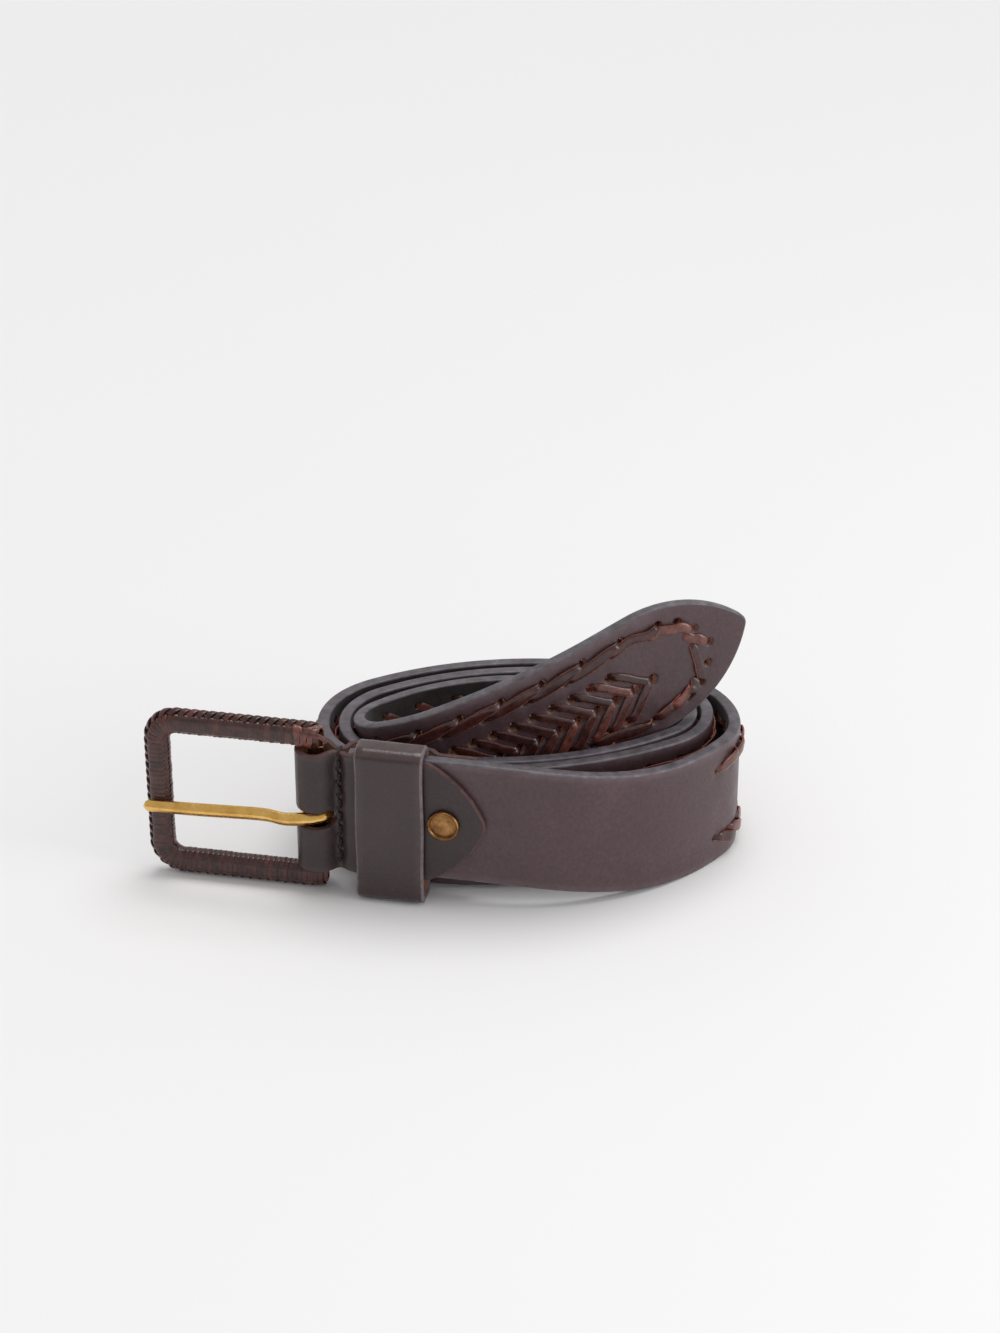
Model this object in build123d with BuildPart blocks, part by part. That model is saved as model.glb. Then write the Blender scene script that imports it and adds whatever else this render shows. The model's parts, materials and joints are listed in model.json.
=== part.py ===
from build123d import *
from math import atan2, cos, degrees, radians, sin, sqrt
import os

# A leather belt, coiled and standing on the lower edge of its strap. Millimetres, +Z up.
# The strap starts in the chape at the front left, winds three turns inwards, anticlockwise
# seen from above, and its tip climbs out of the coil across the front.

# ---- driving dimensions -------------------------------------------------------------
strap_width = 38.0
strap_thickness = 3.5
buckle_end_lift = 7.9  # the keeper and the buckle hold this end of the strap off the floor

front_yaw = 11.5  # degrees between the buckle's plane and the X axis
front_run = 43.2  # straight stretch that starts at the buckle's bar
front_bend_radius = 86.0
lift_from = -18.0  # the strap comes down to the floor between these two places along X
lift_to = 46.0
side_view = 80.0  # half the side profile's length, past the coil on both sides

# extreme points of each turn's centre line, from the outermost to the innermost,
# and the radius of the tight bend at each end of the oval
front_points = [(-2.0, -36.6), (-16.0, -24.5), (-12.0, -19.7)]
right_points = [(58.35, 4.0), (50.75, 9.5), (46.1, 9.5)]
rear_points = [(0.0, 40.2), (0.0, 34.8), (-2.0, 29.4)]
left_points = [(-60.95, 3.8), (-54.75, 3.3)]
right_front_radius = [20.0, 21.0, 15.0]
right_rear_radius = [31.0, 18.5, 14.0]
left_rear_radius = [27.0, 22.0]
left_front_radius = [24.5, 20.5]

# the innermost bend leans, so the strap leaves it climbing at twice the lean
bend_lean = 10.95
last_left = (-45.2, 2.0)
last_front = (-22.0, -13.8)
last_radius = 14.0
tip_bend_radius = 130.0
tip_bend_angle = 22.1
tip_run = 44.4  # straight stretch that ends in the point
tip_length = 46.0  # flat end of the strap, point included
tip_half_angle = 60.0
tip_nose_radius = 3.0

belt_hole = 5.0
belt_hole_count = 5
belt_hole_pitch = 25.4
first_belt_hole = 118.0  # from the point

lace_width = 2.6
lace_thickness = 0.7
lace_inset = 5.8  # from the strap's edge to the middle of the lacing
lace_gap = 0.03
chevron_count = 11
chevron_pitch = 6.1
chevron_rows = [5.4, -2.0, -10.4]  # heights of the three rows of holes on the strap
chevron_lean = [11.6, 0.0, 11.6]  # how far each row lags behind the middle one
chevron_start = 32.7  # from the strap's point to the first chevron's middle hole
chevron_hole = 2.8

leather_thin = 1.8
fold_radius = 5.1  # middle of the leather round the buckle's bar
seam_run = 7.0  # bar to seam
sandwich_start = 10.2  # bar to the strap's blunt end
keeper_start = 12.2
keeper_width = 19.7
keeper_wall = 1.8
keeper_height = 48.7
keeper_bottom = 0.3
keeper_corner = 3.2
rivet_place = 37.4
tongue_start = 33.0  # the front leaf narrows to its tongue from here
tongue_side = (43.4, 10.8)  # a point on the tongue's curved edge
tongue_end = 49.6
back_leaf_end = 45.6
fold_opening = 60.0  # degrees either side of the strap that the fold leaves open
slot_height = 5.4
slot_end = 5.9
slot_length = 17.9
thread_diameter = 0.9
seam_stitches = 8
seam_margin = 2.0  # from the leaf's edge to the first stitch hole
staple_wire = 0.7
staple_span = 7.0
staple_leg = 1.9
staple_stand = 0.35  # how far the staple stands out of the keeper

buckle_height = 53.6
buckle_length = 53.4
bar_diameter = 4.4
core_width = 4.6
core_depth = 3.6
wrap_build = 0.9  # thickness of the wound lace
ridge_height = 1.1
ridge_width = 2.6
buckle_corner = 10.0
opening_corner = 3.0

prong_length = 50.2
prong_drop = 2.2  # the prong and its slot lie this far below the middle of the strap
prong_width = 4.0
prong_depth = 2.5
prong_clear = 0.15

rivet_cap_diameter = 9.2
rivet_cap_height = 1.5
rivet_post_diameter = 3.0
back_cap_radius = 2.7
back_cap_height = 1.0
rim_groove = 0.35

# ---- the strap's centre line --------------------------------------------------------
# A piece is ("arc", centre x, centre y, radius, start angle, sweep) or ("line", x, y, angle, length).


def arc_piece(centre_x, centre_y, radius, start, sweep):
    return ("arc", centre_x, centre_y, radius, start, sweep)


def quarter_from_flat(flat, steep, radius):
    """Two tangent arcs from a front or rear point to the end of the oval, anticlockwise."""
    side = 1 if steep[0] > flat[0] else -1
    run = side * (steep[0] - flat[0]) - radius
    rise = side * (steep[1] - flat[1])
    large = (run**2 + rise**2 - radius**2) / (2 * (rise - radius))
    turn = degrees(atan2(run, large - rise))
    first = -90.0 if side > 0 else 90.0
    return [
        arc_piece(flat[0], flat[1] + side * large, large, first, turn),
        arc_piece(steep[0] - side * radius, steep[1], radius, first + turn, 90.0 - turn),
    ]


def quarter_from_steep(steep, flat, radius):
    """Two tangent arcs from the end of the oval to a front or rear point, anticlockwise."""
    side = 1 if steep[0] > flat[0] else -1
    run = side * (steep[0] - flat[0]) - radius
    rise = side * (flat[1] - steep[1])
    large = (run**2 + rise**2 - radius**2) / (2 * (rise - radius))
    turn = degrees(atan2(run, large - rise))
    first = 0.0 if side > 0 else 180.0
    return [
        arc_piece(steep[0] - side * radius, steep[1], radius, first, 90.0 - turn),
        arc_piece(flat[0], flat[1] - side * large, large, first + 90.0 - turn, turn),
    ]


def piece_length(piece):
    return piece[4] if piece[0] == "line" else piece[3] * radians(piece[5])


def piece_point(piece, along):
    """Position and heading in degrees, a distance along one piece."""
    if piece[0] == "line":
        heading = radians(piece[3])
        return piece[1] + along * cos(heading), piece[2] + along * sin(heading), piece[3]
    angle = radians(piece[4]) + along / piece[3]
    return piece[1] + piece[3] * cos(angle), piece[2] + piece[3] * sin(angle), degrees(angle) + 90.0


def route_point(route, along):
    for piece in route[:-1]:
        if along <= piece_length(piece):
            return piece_point(piece, along)
        along -= piece_length(piece)
    return piece_point(route[-1], along)


def draw_route(route, shift):
    """The route's arcs and lines, moved sideways to the outside of the coil by shift."""
    for piece in route:
        if piece[0] == "line":
            heading = radians(piece[3])
            start_x = piece[1] + shift * sin(heading)
            start_y = piece[2] - shift * cos(heading)
            Line(
                (start_x, start_y),
                (start_x + piece[4] * cos(heading), start_y + piece[4] * sin(heading)),
            )
        else:
            CenterArc((piece[1], piece[2]), piece[3] + shift, piece[4], piece[5])


def draw_band(route, inside, outside):
    """Closed outline of a band that follows the route between two sideways shifts."""
    draw_route(route, inside)
    draw_route(route, outside)
    for along in (0.0, sum(piece_length(piece) for piece in route)):
        x, y, heading = route_point(route, along)
        turn = radians(heading)
        Line((x + inside * sin(turn), y - inside * cos(turn)),
             (x + outside * sin(turn), y - outside * cos(turn)))


front_bend = arc_piece(front_points[0][0], front_points[0][1] + front_bend_radius,
                       front_bend_radius, -90.0 - front_yaw, front_yaw)
front_bend_x, front_bend_y = piece_point(front_bend, 0.0)[:2]
bar_x = front_bend_x - front_run * cos(radians(front_yaw))
bar_y = front_bend_y + front_run * sin(radians(front_yaw))
front_straight = ("line", bar_x + sandwich_start * cos(radians(front_yaw)),
                  bar_y - sandwich_start * sin(radians(front_yaw)),
                  -front_yaw, front_run - sandwich_start)

lifted_route = [front_straight, front_bend]
lifted_route += quarter_from_flat(front_points[0], right_points[0], right_front_radius[0])
coil_route = quarter_from_steep(right_points[0], rear_points[0], right_rear_radius[0])
for turn in range(2):
    coil_route += quarter_from_flat(rear_points[turn], left_points[turn],
                                    left_rear_radius[turn])
    coil_route += quarter_from_steep(left_points[turn], front_points[turn + 1],
                                     left_front_radius[turn])
    coil_route += quarter_from_flat(front_points[turn + 1], right_points[turn + 1],
                                    right_front_radius[turn + 1])
    coil_route += quarter_from_steep(right_points[turn + 1], rear_points[turn + 1],
                                     right_rear_radius[turn + 1])

# the leaning bend is drawn in its own plane, tilted about the Y axis
tilted_route = quarter_from_flat(rear_points[2], last_left, last_radius)
tilted_route += quarter_from_steep(last_left, last_front, last_radius)
tilted_route.append(arc_piece(last_front[0], last_front[1] + tip_bend_radius,
                              tip_bend_radius, -90.0, tip_bend_angle))
tip_start = piece_point(tilted_route[-1], piece_length(tilted_route[-1]))
tilted_route.append(("line", *tip_start, tip_run / cos(radians(bend_lean))))

coil_length = sum(piece_length(piece) for piece in coil_route)
tilted_length = sum(piece_length(piece) for piece in tilted_route) / cos(radians(bend_lean))


def tilted_plane(along):
    """Plane across the leaning stretch: X outwards through the leather, Y up its width."""
    lean = radians(bend_lean)
    x, y, heading = route_point(tilted_route, along * cos(lean))
    turn = radians(heading)
    rise = along * sin(lean)
    offset = x - rear_points[2][0]
    flat = Vector(cos(lean), 0, sin(lean))
    ruling = Vector(-sin(lean), 0, cos(lean))
    origin = (Vector(rear_points[2][0], y, strap_width / 2) + flat * offset + ruling * rise)
    forward = (flat * cos(turn) + Vector(0, sin(turn), 0)) * cos(lean) + ruling * sin(lean)
    outward = flat * sin(turn) - Vector(0, cos(turn), 0)
    return Plane(origin=origin, x_dir=outward, z_dir=forward * -1)


def face_plane(along):
    """Plane on the leaning stretch's middle surface: X along the strap, Z outwards."""
    section = tilted_plane(along)
    return Plane(origin=section.origin, x_dir=section.z_dir * -1, z_dir=section.x_dir)


# ---- frames of the buckle end -------------------------------------------------------
yaw = radians(front_yaw)
along_front = Vector(cos(yaw), -sin(yaw), 0)
outward_front = Vector(-sin(yaw), -cos(yaw), 0)
middle_height = buckle_end_lift + strap_width / 2
bar_point = Vector(bar_x, bar_y, 0)
# X along the strap, Y inwards to the coil, Z up, from the floor under the buckle's bar
bar_floor = Plane(origin=bar_point, x_dir=along_front, z_dir=(0, 0, 1))
# X along the strap, Y up, Z outwards, from the middle of the bar
bar_face = Plane(origin=bar_point + Vector(0, 0, middle_height), x_dir=along_front,
                 z_dir=outward_front)

rivet_face = bar_face.shift_origin(bar_face.from_local_coords(Vector(rivet_place, 0, 0)))


def across_front(distance):
    """Plane square to the strap's front run: X outwards, Y up."""
    origin = bar_point + along_front * distance + Vector(0, 0, middle_height)
    return Plane(origin=origin, x_dir=outward_front, z_dir=along_front * -1)


half_thickness = strap_thickness / 2
half_width = strap_width / 2


def draw_tip(inset):
    """The strap's flat end, moved inwards from its edge by inset."""
    half = half_width - inset
    bend = half_width / (1 - cos(radians(tip_half_angle))) - inset
    full = bend + inset
    taper = tip_length - full * sin(radians(tip_half_angle))
    end = sqrt(bend**2 - (bend - half) ** 2)
    Line((0, -half), (0, half))
    Line((0, half), (taper, half))
    Line((0, -half), (taper, -half))
    RadiusArc((taper, half), (taper + end, 0), bend)
    RadiusArc((taper, -half), (taper + end, 0), -bend)


# ---- main strap ---------------------------------------------------------------------
tip_from = tilted_length - tip_length
station_count = 40
tilted_stations = [tip_from * step / station_count for step in range(station_count + 1)]
tip_plane = face_plane(tip_from)


def chevron_hole_planes():
    planes = []
    for chevron in range(chevron_count):
        for row in range(3):
            back = chevron_start + chevron * chevron_pitch + chevron_lean[row]
            plane = face_plane(tilted_length - back)
            planes.append(plane.shift_origin(plane.from_local_coords(
                Vector(0, chevron_rows[row], 0))))
    return planes


def coil_plane(along):
    """Plane on the flat coil's middle surface, a distance along it: Z outwards."""
    x, y, heading = route_point(coil_route, along)
    turn = radians(heading)
    return Plane(origin=(x, y, half_width), x_dir=(cos(turn), sin(turn), 0),
                 z_dir=(sin(turn), -cos(turn), 0))


def belt_hole_planes():
    planes = []
    for hole in range(belt_hole_count):
        along = tilted_length - first_belt_hole - hole * belt_hole_pitch
        planes.append(face_plane(along) if along > 0 else coil_plane(coil_length + along))
    return planes


with BuildPart() as main_strap:
    # the lifted front run is a tall band, cut to the strap's side profile
    with BuildSketch():
        with BuildLine():
            draw_band(lifted_route, -half_thickness, half_thickness)
        make_face()
    extrude(amount=strap_width + buckle_end_lift)
    with BuildSketch(Plane.XZ):
        with BuildLine():
            lifted_top = buckle_end_lift + strap_width
            lower = Spline((lift_from, buckle_end_lift), (lift_to, 0), tangents=((1, 0), (1, 0)))
            upper = Spline((lift_from, lifted_top), (lift_to, strap_width),
                           tangents=((1, 0), (1, 0)))
            Polyline(lower @ 0, (-side_view, buckle_end_lift), (-side_view, lifted_top), upper @ 0)
            Polyline(lower @ 1, (side_view, 0), (side_view, strap_width), upper @ 1)
        make_face()
    extrude(amount=side_view, both=True, mode=Mode.INTERSECT)
    # flat coil
    with BuildSketch():
        with BuildLine():
            draw_band(coil_route, -half_thickness, half_thickness)
        make_face()
    extrude(amount=strap_width)
    # leaning bend and climb
    for along in tilted_stations:
        with BuildSketch(tilted_plane(along)):
            Rectangle(strap_thickness, strap_width)
    loft()
    # flat end with its point
    with BuildSketch(tip_plane):
        with BuildLine():
            draw_tip(0)
        make_face()
        fillet(vertices().sort_by(Axis.X)[-1], tip_nose_radius)
    extrude(amount=half_thickness, both=True)
    # holes for the prong, the chevron lacing and the rivet
    with Locations(*belt_hole_planes()):
        Cylinder(belt_hole / 2, 2 * strap_thickness, mode=Mode.SUBTRACT)
    with Locations(*chevron_hole_planes()):
        Cylinder(chevron_hole / 2, 2 * strap_thickness, mode=Mode.SUBTRACT)
    with Locations(rivet_face):
        Cylinder(rivet_post_diameter / 2, 3 * strap_thickness, mode=Mode.SUBTRACT)
main_strap.part.label = "main_strap"

# ---- lacing along both edges --------------------------------------------------------
lace_near = half_thickness + lace_gap
lace_far = lace_near + lace_thickness
lace_middle = half_width - lace_inset

edge_laces = []
for side in (1, -1):
    centre = side * lace_middle
    with BuildPart() as edge_lace:
        with BuildSketch(Plane.XY.offset(half_width + centre - lace_width / 2)):
            with BuildLine():
                draw_band(coil_route, lace_near, lace_far)
            make_face()
        extrude(amount=lace_width)
        for along in tilted_stations:
            with BuildSketch(tilted_plane(along)):
                with Locations(((lace_near + lace_far) / 2, centre)):
                    Rectangle(lace_thickness, lace_width)
        loft()
    edge_laces.append(edge_lace.part)
edge_laces[0].label = "upper_edge_lace"
edge_laces[1].label = "lower_edge_lace"

with BuildPart() as tip_lace:
    with BuildSketch(tip_plane.offset(lace_near)):
        with BuildLine():
            draw_tip(lace_inset - lace_width / 2)
        make_face()
        with BuildLine():
            draw_tip(lace_inset + lace_width / 2)
        make_face(mode=Mode.SUBTRACT)
    extrude(amount=lace_thickness)
tip_lace.part.label = "tip_lace"

# ---- chevron lacing -----------------------------------------------------------------
chevron_stand = lace_near + 0.1
with BuildPart() as chevron_lace:
    for chevron in range(chevron_count):
        back = chevron_start + chevron * chevron_pitch
        for row in (0, 2):
            rise = chevron_rows[row] - chevron_rows[1]
            reach = chevron_lean[row]
            middle = face_plane(tilted_length - back - reach / 2)
            with BuildSketch(middle.offset(chevron_stand)):
                with Locations((0, (chevron_rows[row] + chevron_rows[1]) / 2)):
                    SlotCenterToCenter(sqrt(rise**2 + reach**2), lace_width,
                                       rotation=degrees(atan2(-rise, reach)))
            extrude(amount=lace_thickness)
chevron_lace.part.label = "chevron_lace"

# ---- chape: the folded leather that holds the buckle ----------------------------------
leaf_near = half_thickness + 0.05 + leather_thin / 2  # middle of a leaf that lies on the strap
pinch = leather_thin / 2 + 0.05
keeper_back = half_thickness + 0.3 + keeper_wall
leaf_bulge = keeper_back + staple_stand + 0.1 + leather_thin / 2
fold_x = fold_radius * cos(radians(fold_opening))
fold_y = fold_radius * sin(radians(fold_opening))
with BuildPart() as buckle_chape:
    with BuildSketch(bar_floor.offset(buckle_end_lift)):
        with BuildLine():
            CenterArc((0, 0), fold_radius, fold_opening, 360 - 2 * fold_opening)
            front_leaf = Polyline(
                (fold_x, -fold_y), (seam_run - 1.2, -pinch), (seam_run + 0.9, -pinch),
                (sandwich_start - 0.3, -leaf_near), (tongue_end, -leaf_near))
            # the back leaf stands off the strap to pass over the keeper
            back_leaf = Polyline(
                (fold_x, fold_y), (seam_run - 1.2, pinch), (seam_run + 1.2, pinch),
                (sandwich_start - 0.4, leaf_bulge),
                (keeper_start + keeper_width + 0.5, leaf_bulge),
                (rivet_place - back_cap_radius - 0.3, leaf_near), (back_leaf_end, leaf_near))
        trace(line_width=leather_thin)
    extrude(amount=strap_width)
    # the front leaf's tongue
    with BuildSketch(bar_face):
        with BuildLine():
            Polyline((tongue_start, half_width), (-2 * fold_radius, half_width),
                     (-2 * fold_radius, -half_width), (tongue_start, -half_width))
            ThreePointArc((tongue_start, half_width), tongue_side, (tongue_end, 0))
            ThreePointArc((tongue_start, -half_width), (tongue_side[0], -tongue_side[1]),
                          (tongue_end, 0))
        make_face()
        fillet(vertices().sort_by(Axis.X)[-1], fold_radius)
    extrude(amount=3 * fold_radius, both=True, mode=Mode.INTERSECT)
    # slot for the prong
    with BuildSketch(bar_face):
        with Locations((slot_end - slot_length / 2, -prong_drop)):
            SlotOverall(slot_length, slot_height)
    extrude(amount=2 * fold_radius, both=True, mode=Mode.SUBTRACT)
    with Locations(rivet_face):
        Cylinder(rivet_post_diameter / 2, 4 * fold_radius, mode=Mode.SUBTRACT)

# ---- seam thread --------------------------------------------------------------------
# a running stitch that changes side at each hole, so it is one thread from end to end
seam_pitch = (strap_width - 2 * seam_margin) / seam_stitches
seam_low = buckle_end_lift + seam_margin
thread_stand = pinch + leather_thin / 2 + thread_diameter / 2 + 0.05


def beside_seam(height):
    """Upright plane at the seam, square to the strap's run: X outwards, Y up."""
    origin = bar_point + along_front * seam_run + Vector(0, 0, height)
    return Plane(origin=origin, x_dir=outward_front, z_dir=along_front * -1)


with BuildPart() as chape_thread:
    with BuildSketch(beside_seam(seam_low)):
        for stitch in range(seam_stitches):
            side = 1 if stitch % 2 == 0 else -1
            with Locations((side * thread_stand, (stitch + 0.5) * seam_pitch)):
                Rectangle(thread_diameter, seam_pitch + thread_diameter)
        for hole in range(seam_stitches + 1):
            with Locations((0, hole * seam_pitch)):
                Rectangle(2 * thread_stand + thread_diameter, thread_diameter)
    extrude(amount=thread_diameter / 2, both=True)
chape_thread.part.label = "chape_thread"

seam_hole = thread_diameter + 0.1
with buckle_chape:
    with BuildSketch(beside_seam(seam_low)):
        for hole in range(seam_stitches + 1):
            with Locations((0, hole * seam_pitch)):
                Rectangle(8, seam_hole)
    extrude(amount=seam_hole / 2, both=True, mode=Mode.SUBTRACT)
buckle_chape.part.label = "buckle_chape"

# ---- keeper -------------------------------------------------------------------------
keeper_front = leaf_near + leather_thin / 2 + 0.45 + keeper_wall
keeper_depth = keeper_front + keeper_back
keeper_middle = (keeper_front - keeper_back) / 2
keeper_plane = across_front(keeper_start).offset(-keeper_width)
keeper_rise = keeper_bottom + keeper_height / 2 - middle_height
with BuildPart() as keeper_loop:
    with BuildSketch(keeper_plane):
        with Locations((keeper_middle, keeper_rise)):
            RectangleRounded(keeper_depth, keeper_height, keeper_corner)
            RectangleRounded(keeper_depth - 2 * keeper_wall, keeper_height - 2 * keeper_wall,
                             keeper_corner - keeper_wall, mode=Mode.SUBTRACT)
    extrude(amount=keeper_width)

# the keeper's ends meet behind the strap, closed by a wire staple through both
staple_plane = across_front(keeper_start + keeper_width / 2)
with BuildPart() as keeper_staple:
    with BuildSketch(staple_plane):
        with Locations((-keeper_back - staple_stand + staple_wire / 2, 0)):
            Rectangle(staple_wire, staple_span)
        for end in (-1, 1):
            with Locations((-keeper_back - staple_stand + staple_leg / 2,
                            end * (staple_span - staple_wire) / 2)):
                Rectangle(staple_leg, staple_wire)
    extrude(amount=staple_wire / 2, both=True)
keeper_staple.part.label = "keeper_staple"

staple_slack = 0.06
staple_hole = staple_wire + staple_slack
with keeper_loop:
    with BuildSketch(staple_plane):
        with Locations((-keeper_back, 0)):
            Rectangle(2 * (staple_wire - staple_stand) + staple_slack, staple_span + staple_slack)
        for end in (-1, 1):
            with Locations((-keeper_back, end * (staple_span - staple_wire) / 2)):
                Rectangle(2 * (staple_leg - staple_stand) + staple_slack, staple_hole)
    extrude(amount=staple_hole / 2, both=True, mode=Mode.SUBTRACT)
keeper_loop.part.label = "keeper_loop"

# ---- buckle -------------------------------------------------------------------------
wrap_width = core_width + 2 * wrap_build
wrap_depth = core_depth + 2 * wrap_build
ring_right = wrap_width / 2
ring_left = ring_right - buckle_length + ridge_height
ring_middle = (ring_left + ring_right) / 2
ring_length = ring_right - ring_left
ring_height = buckle_height - 2 * ridge_height
frame_plane = bar_face.shift_origin(bar_face.from_local_coords(Vector(ring_middle, 0, 0)))

with BuildPart() as buckle_frame:
    with BuildSketch(frame_plane):
        RectangleRounded(ring_length - 2 * wrap_build, ring_height - 2 * wrap_build,
                         buckle_corner - ridge_height - wrap_build)
        RectangleRounded(ring_length - 2 * wrap_build - 2 * core_width,
                         ring_height - 2 * wrap_build - 2 * core_width,
                         opening_corner + wrap_build, mode=Mode.SUBTRACT)
        # the bar's side stays open between the two arms
        with Locations((ring_length / 2, 0)):
            Rectangle(2 * (wrap_width + wrap_build + 1.0),
                      ring_height - 2 * wrap_build - 2 * core_width, mode=Mode.SUBTRACT)
    extrude(amount=core_depth / 2, both=True)
    fillet(buckle_frame.edges().filter_by(GeomType.LINE).filter_by(
        lambda edge: edge.length > core_width * 2), core_depth / 3)
    with BuildSketch(bar_floor.offset(middle_height - ring_height / 2 + wrap_build + 1.0)):
        Circle(bar_diameter / 2)
    extrude(amount=ring_height - 2 * wrap_build - 2.0)
buckle_frame.part.label = "buckle_frame"

skin = 0.02
with BuildPart() as frame_wrap_lace:
    with BuildSketch(frame_plane):
        RectangleRounded(ring_length, ring_height, buckle_corner - ridge_height)
        RectangleRounded(ring_length - 2 * wrap_width, ring_height - 2 * wrap_width,
                         opening_corner, mode=Mode.SUBTRACT)
        with Locations((ring_length / 2, 0)):
            Rectangle(2 * (wrap_width + opening_corner), ring_height - 2 * wrap_width,
                      mode=Mode.SUBTRACT)
    extrude(amount=wrap_depth / 2, both=True)
    with BuildSketch(frame_plane):
        RectangleRounded(ring_length - 2 * wrap_build + 2 * skin,
                         ring_height - 2 * wrap_build + 2 * skin,
                         buckle_corner - ridge_height - wrap_build + skin)
        RectangleRounded(ring_length - 2 * wrap_build - 2 * core_width - 2 * skin,
                         ring_height - 2 * wrap_build - 2 * core_width - 2 * skin,
                         opening_corner + wrap_build - skin, mode=Mode.SUBTRACT)
        with Locations((ring_length / 2, 0)):
            Rectangle(2 * (wrap_width + wrap_build + 1.0) - 2 * skin,
                      ring_height - 2 * wrap_build - 2 * core_width - 2 * skin,
                      mode=Mode.SUBTRACT)
    extrude(amount=core_depth / 2 + skin, both=True, mode=Mode.SUBTRACT)
    with BuildSketch(bar_floor.offset(middle_height - ring_height / 2 + wrap_build)):
        Circle(bar_diameter / 2 + skin)
    extrude(amount=ring_height - 2 * wrap_build, mode=Mode.SUBTRACT)
frame_wrap_lace.part.label = "frame_wrap_lace"

with BuildPart() as frame_ridge_braid:
    with BuildSketch(frame_plane):
        with Locations((-ridge_height / 2, 0)):
            RectangleRounded(ring_length + ridge_height, buckle_height, buckle_corner)
        RectangleRounded(ring_length + 2 * skin, ring_height + 2 * skin,
                         buckle_corner - ridge_height + skin, mode=Mode.SUBTRACT)
        with Locations((ring_length / 2, 0)):
            Rectangle(2 * wrap_width, buckle_height, mode=Mode.SUBTRACT)
    extrude(amount=ridge_width / 2, both=True)
frame_ridge_braid.part.label = "frame_ridge_braid"

# ---- prong --------------------------------------------------------------------------
eye_inner = bar_diameter / 2 + prong_clear
eye_outer = eye_inner + prong_depth
prong_rest = wrap_depth / 2 + 0.35  # height of its underside over the left side of the frame
prong_tip = -prong_length
with BuildPart() as prong:
    with BuildSketch(bar_floor.offset(middle_height - prong_drop - prong_width / 2)):
        with BuildLine():
            middle_radius = (eye_inner + eye_outer) / 2
            eye = CenterArc((0, 0), middle_radius, -90, 300)
            neck = Spline((0, -middle_radius), (-9, -middle_radius - 0.5),
                          (-17, -prong_rest - prong_depth / 2 - 0.5),
                          (prong_tip + 8, -prong_rest - prong_depth / 2),
                          tangents=((-1, 0), (-1, 0)))
            Line(neck @ 1, (prong_tip, -prong_rest - prong_depth / 2))
        trace(line_width=prong_depth)
    extrude(amount=prong_width)
    blunt_end = prong.edges().filter_by(Axis.Z).sort_by(Axis((0, 0, 0), along_front))[0:2]
    fillet(blunt_end, prong_depth / 3)
prong.part.label = "prong"

# ---- rivet --------------------------------------------------------------------------
rivet_front = leaf_near + leather_thin / 2
rim_radius = rivet_cap_diameter / 2 - 0.8
outwards = Axis((0, 0, 0), outward_front)
with BuildPart() as rivet_cap:
    with BuildSketch(rivet_face.offset(rivet_front + skin)):
        Circle(rivet_cap_diameter / 2)
    extrude(amount=rivet_cap_height)
    fillet(rivet_cap.edges().filter_by(GeomType.CIRCLE).sort_by(outwards)[-1], 0.5)
    with BuildSketch(rivet_face.offset(rivet_front + skin + rivet_cap_height)):
        Circle(rim_radius)
        Circle(rim_radius - rim_groove, mode=Mode.SUBTRACT)
    extrude(amount=-rim_groove / 2, mode=Mode.SUBTRACT)
rivet_cap.part.label = "rivet_cap"

post_radius = rivet_post_diameter / 2 - skin
with BuildPart() as rivet_post:
    with BuildSketch(rivet_face.offset(-rivet_front - skin)):
        Circle(post_radius)
    extrude(amount=2 * rivet_front + 2 * skin)
    with BuildSketch(rivet_face.offset(-rivet_front - skin)):
        Circle(back_cap_radius)
    extrude(amount=-back_cap_height)
    fillet(rivet_post.edges().filter_by(GeomType.CIRCLE).sort_by(outwards)[0], 0.4)
rivet_post.part.label = "rivet_post"

# ---- write the pieces, centred over the origin with the lowest point on Z = 0 --------
pieces = [main_strap.part, *edge_laces, tip_lace.part, chevron_lace.part, buckle_chape.part,
          chape_thread.part, keeper_loop.part, keeper_staple.part, buckle_frame.part,
          frame_wrap_lace.part, frame_ridge_braid.part, prong.part, rivet_cap.part, rivet_post.part]
whole = Compound(children=[piece.moved(Location()) for piece in pieces]).bounding_box()
shift = Location((-(whole.min.X + whole.max.X) / 2, -(whole.min.Y + whole.max.Y) / 2, -whole.min.Z))
os.makedirs("parts", exist_ok=True)
for piece in pieces:
    placed = piece.moved(shift)
    placed.label = piece.label
    export_step(placed, "parts/" + piece.label + ".step")
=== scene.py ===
import bmesh
import bpy
import json
import random
from math import asin, atan2, cos, degrees, hypot, pi, radians, sin, sqrt
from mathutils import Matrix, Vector
from mathutils.geometry import delaunay_2d_cdt

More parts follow.
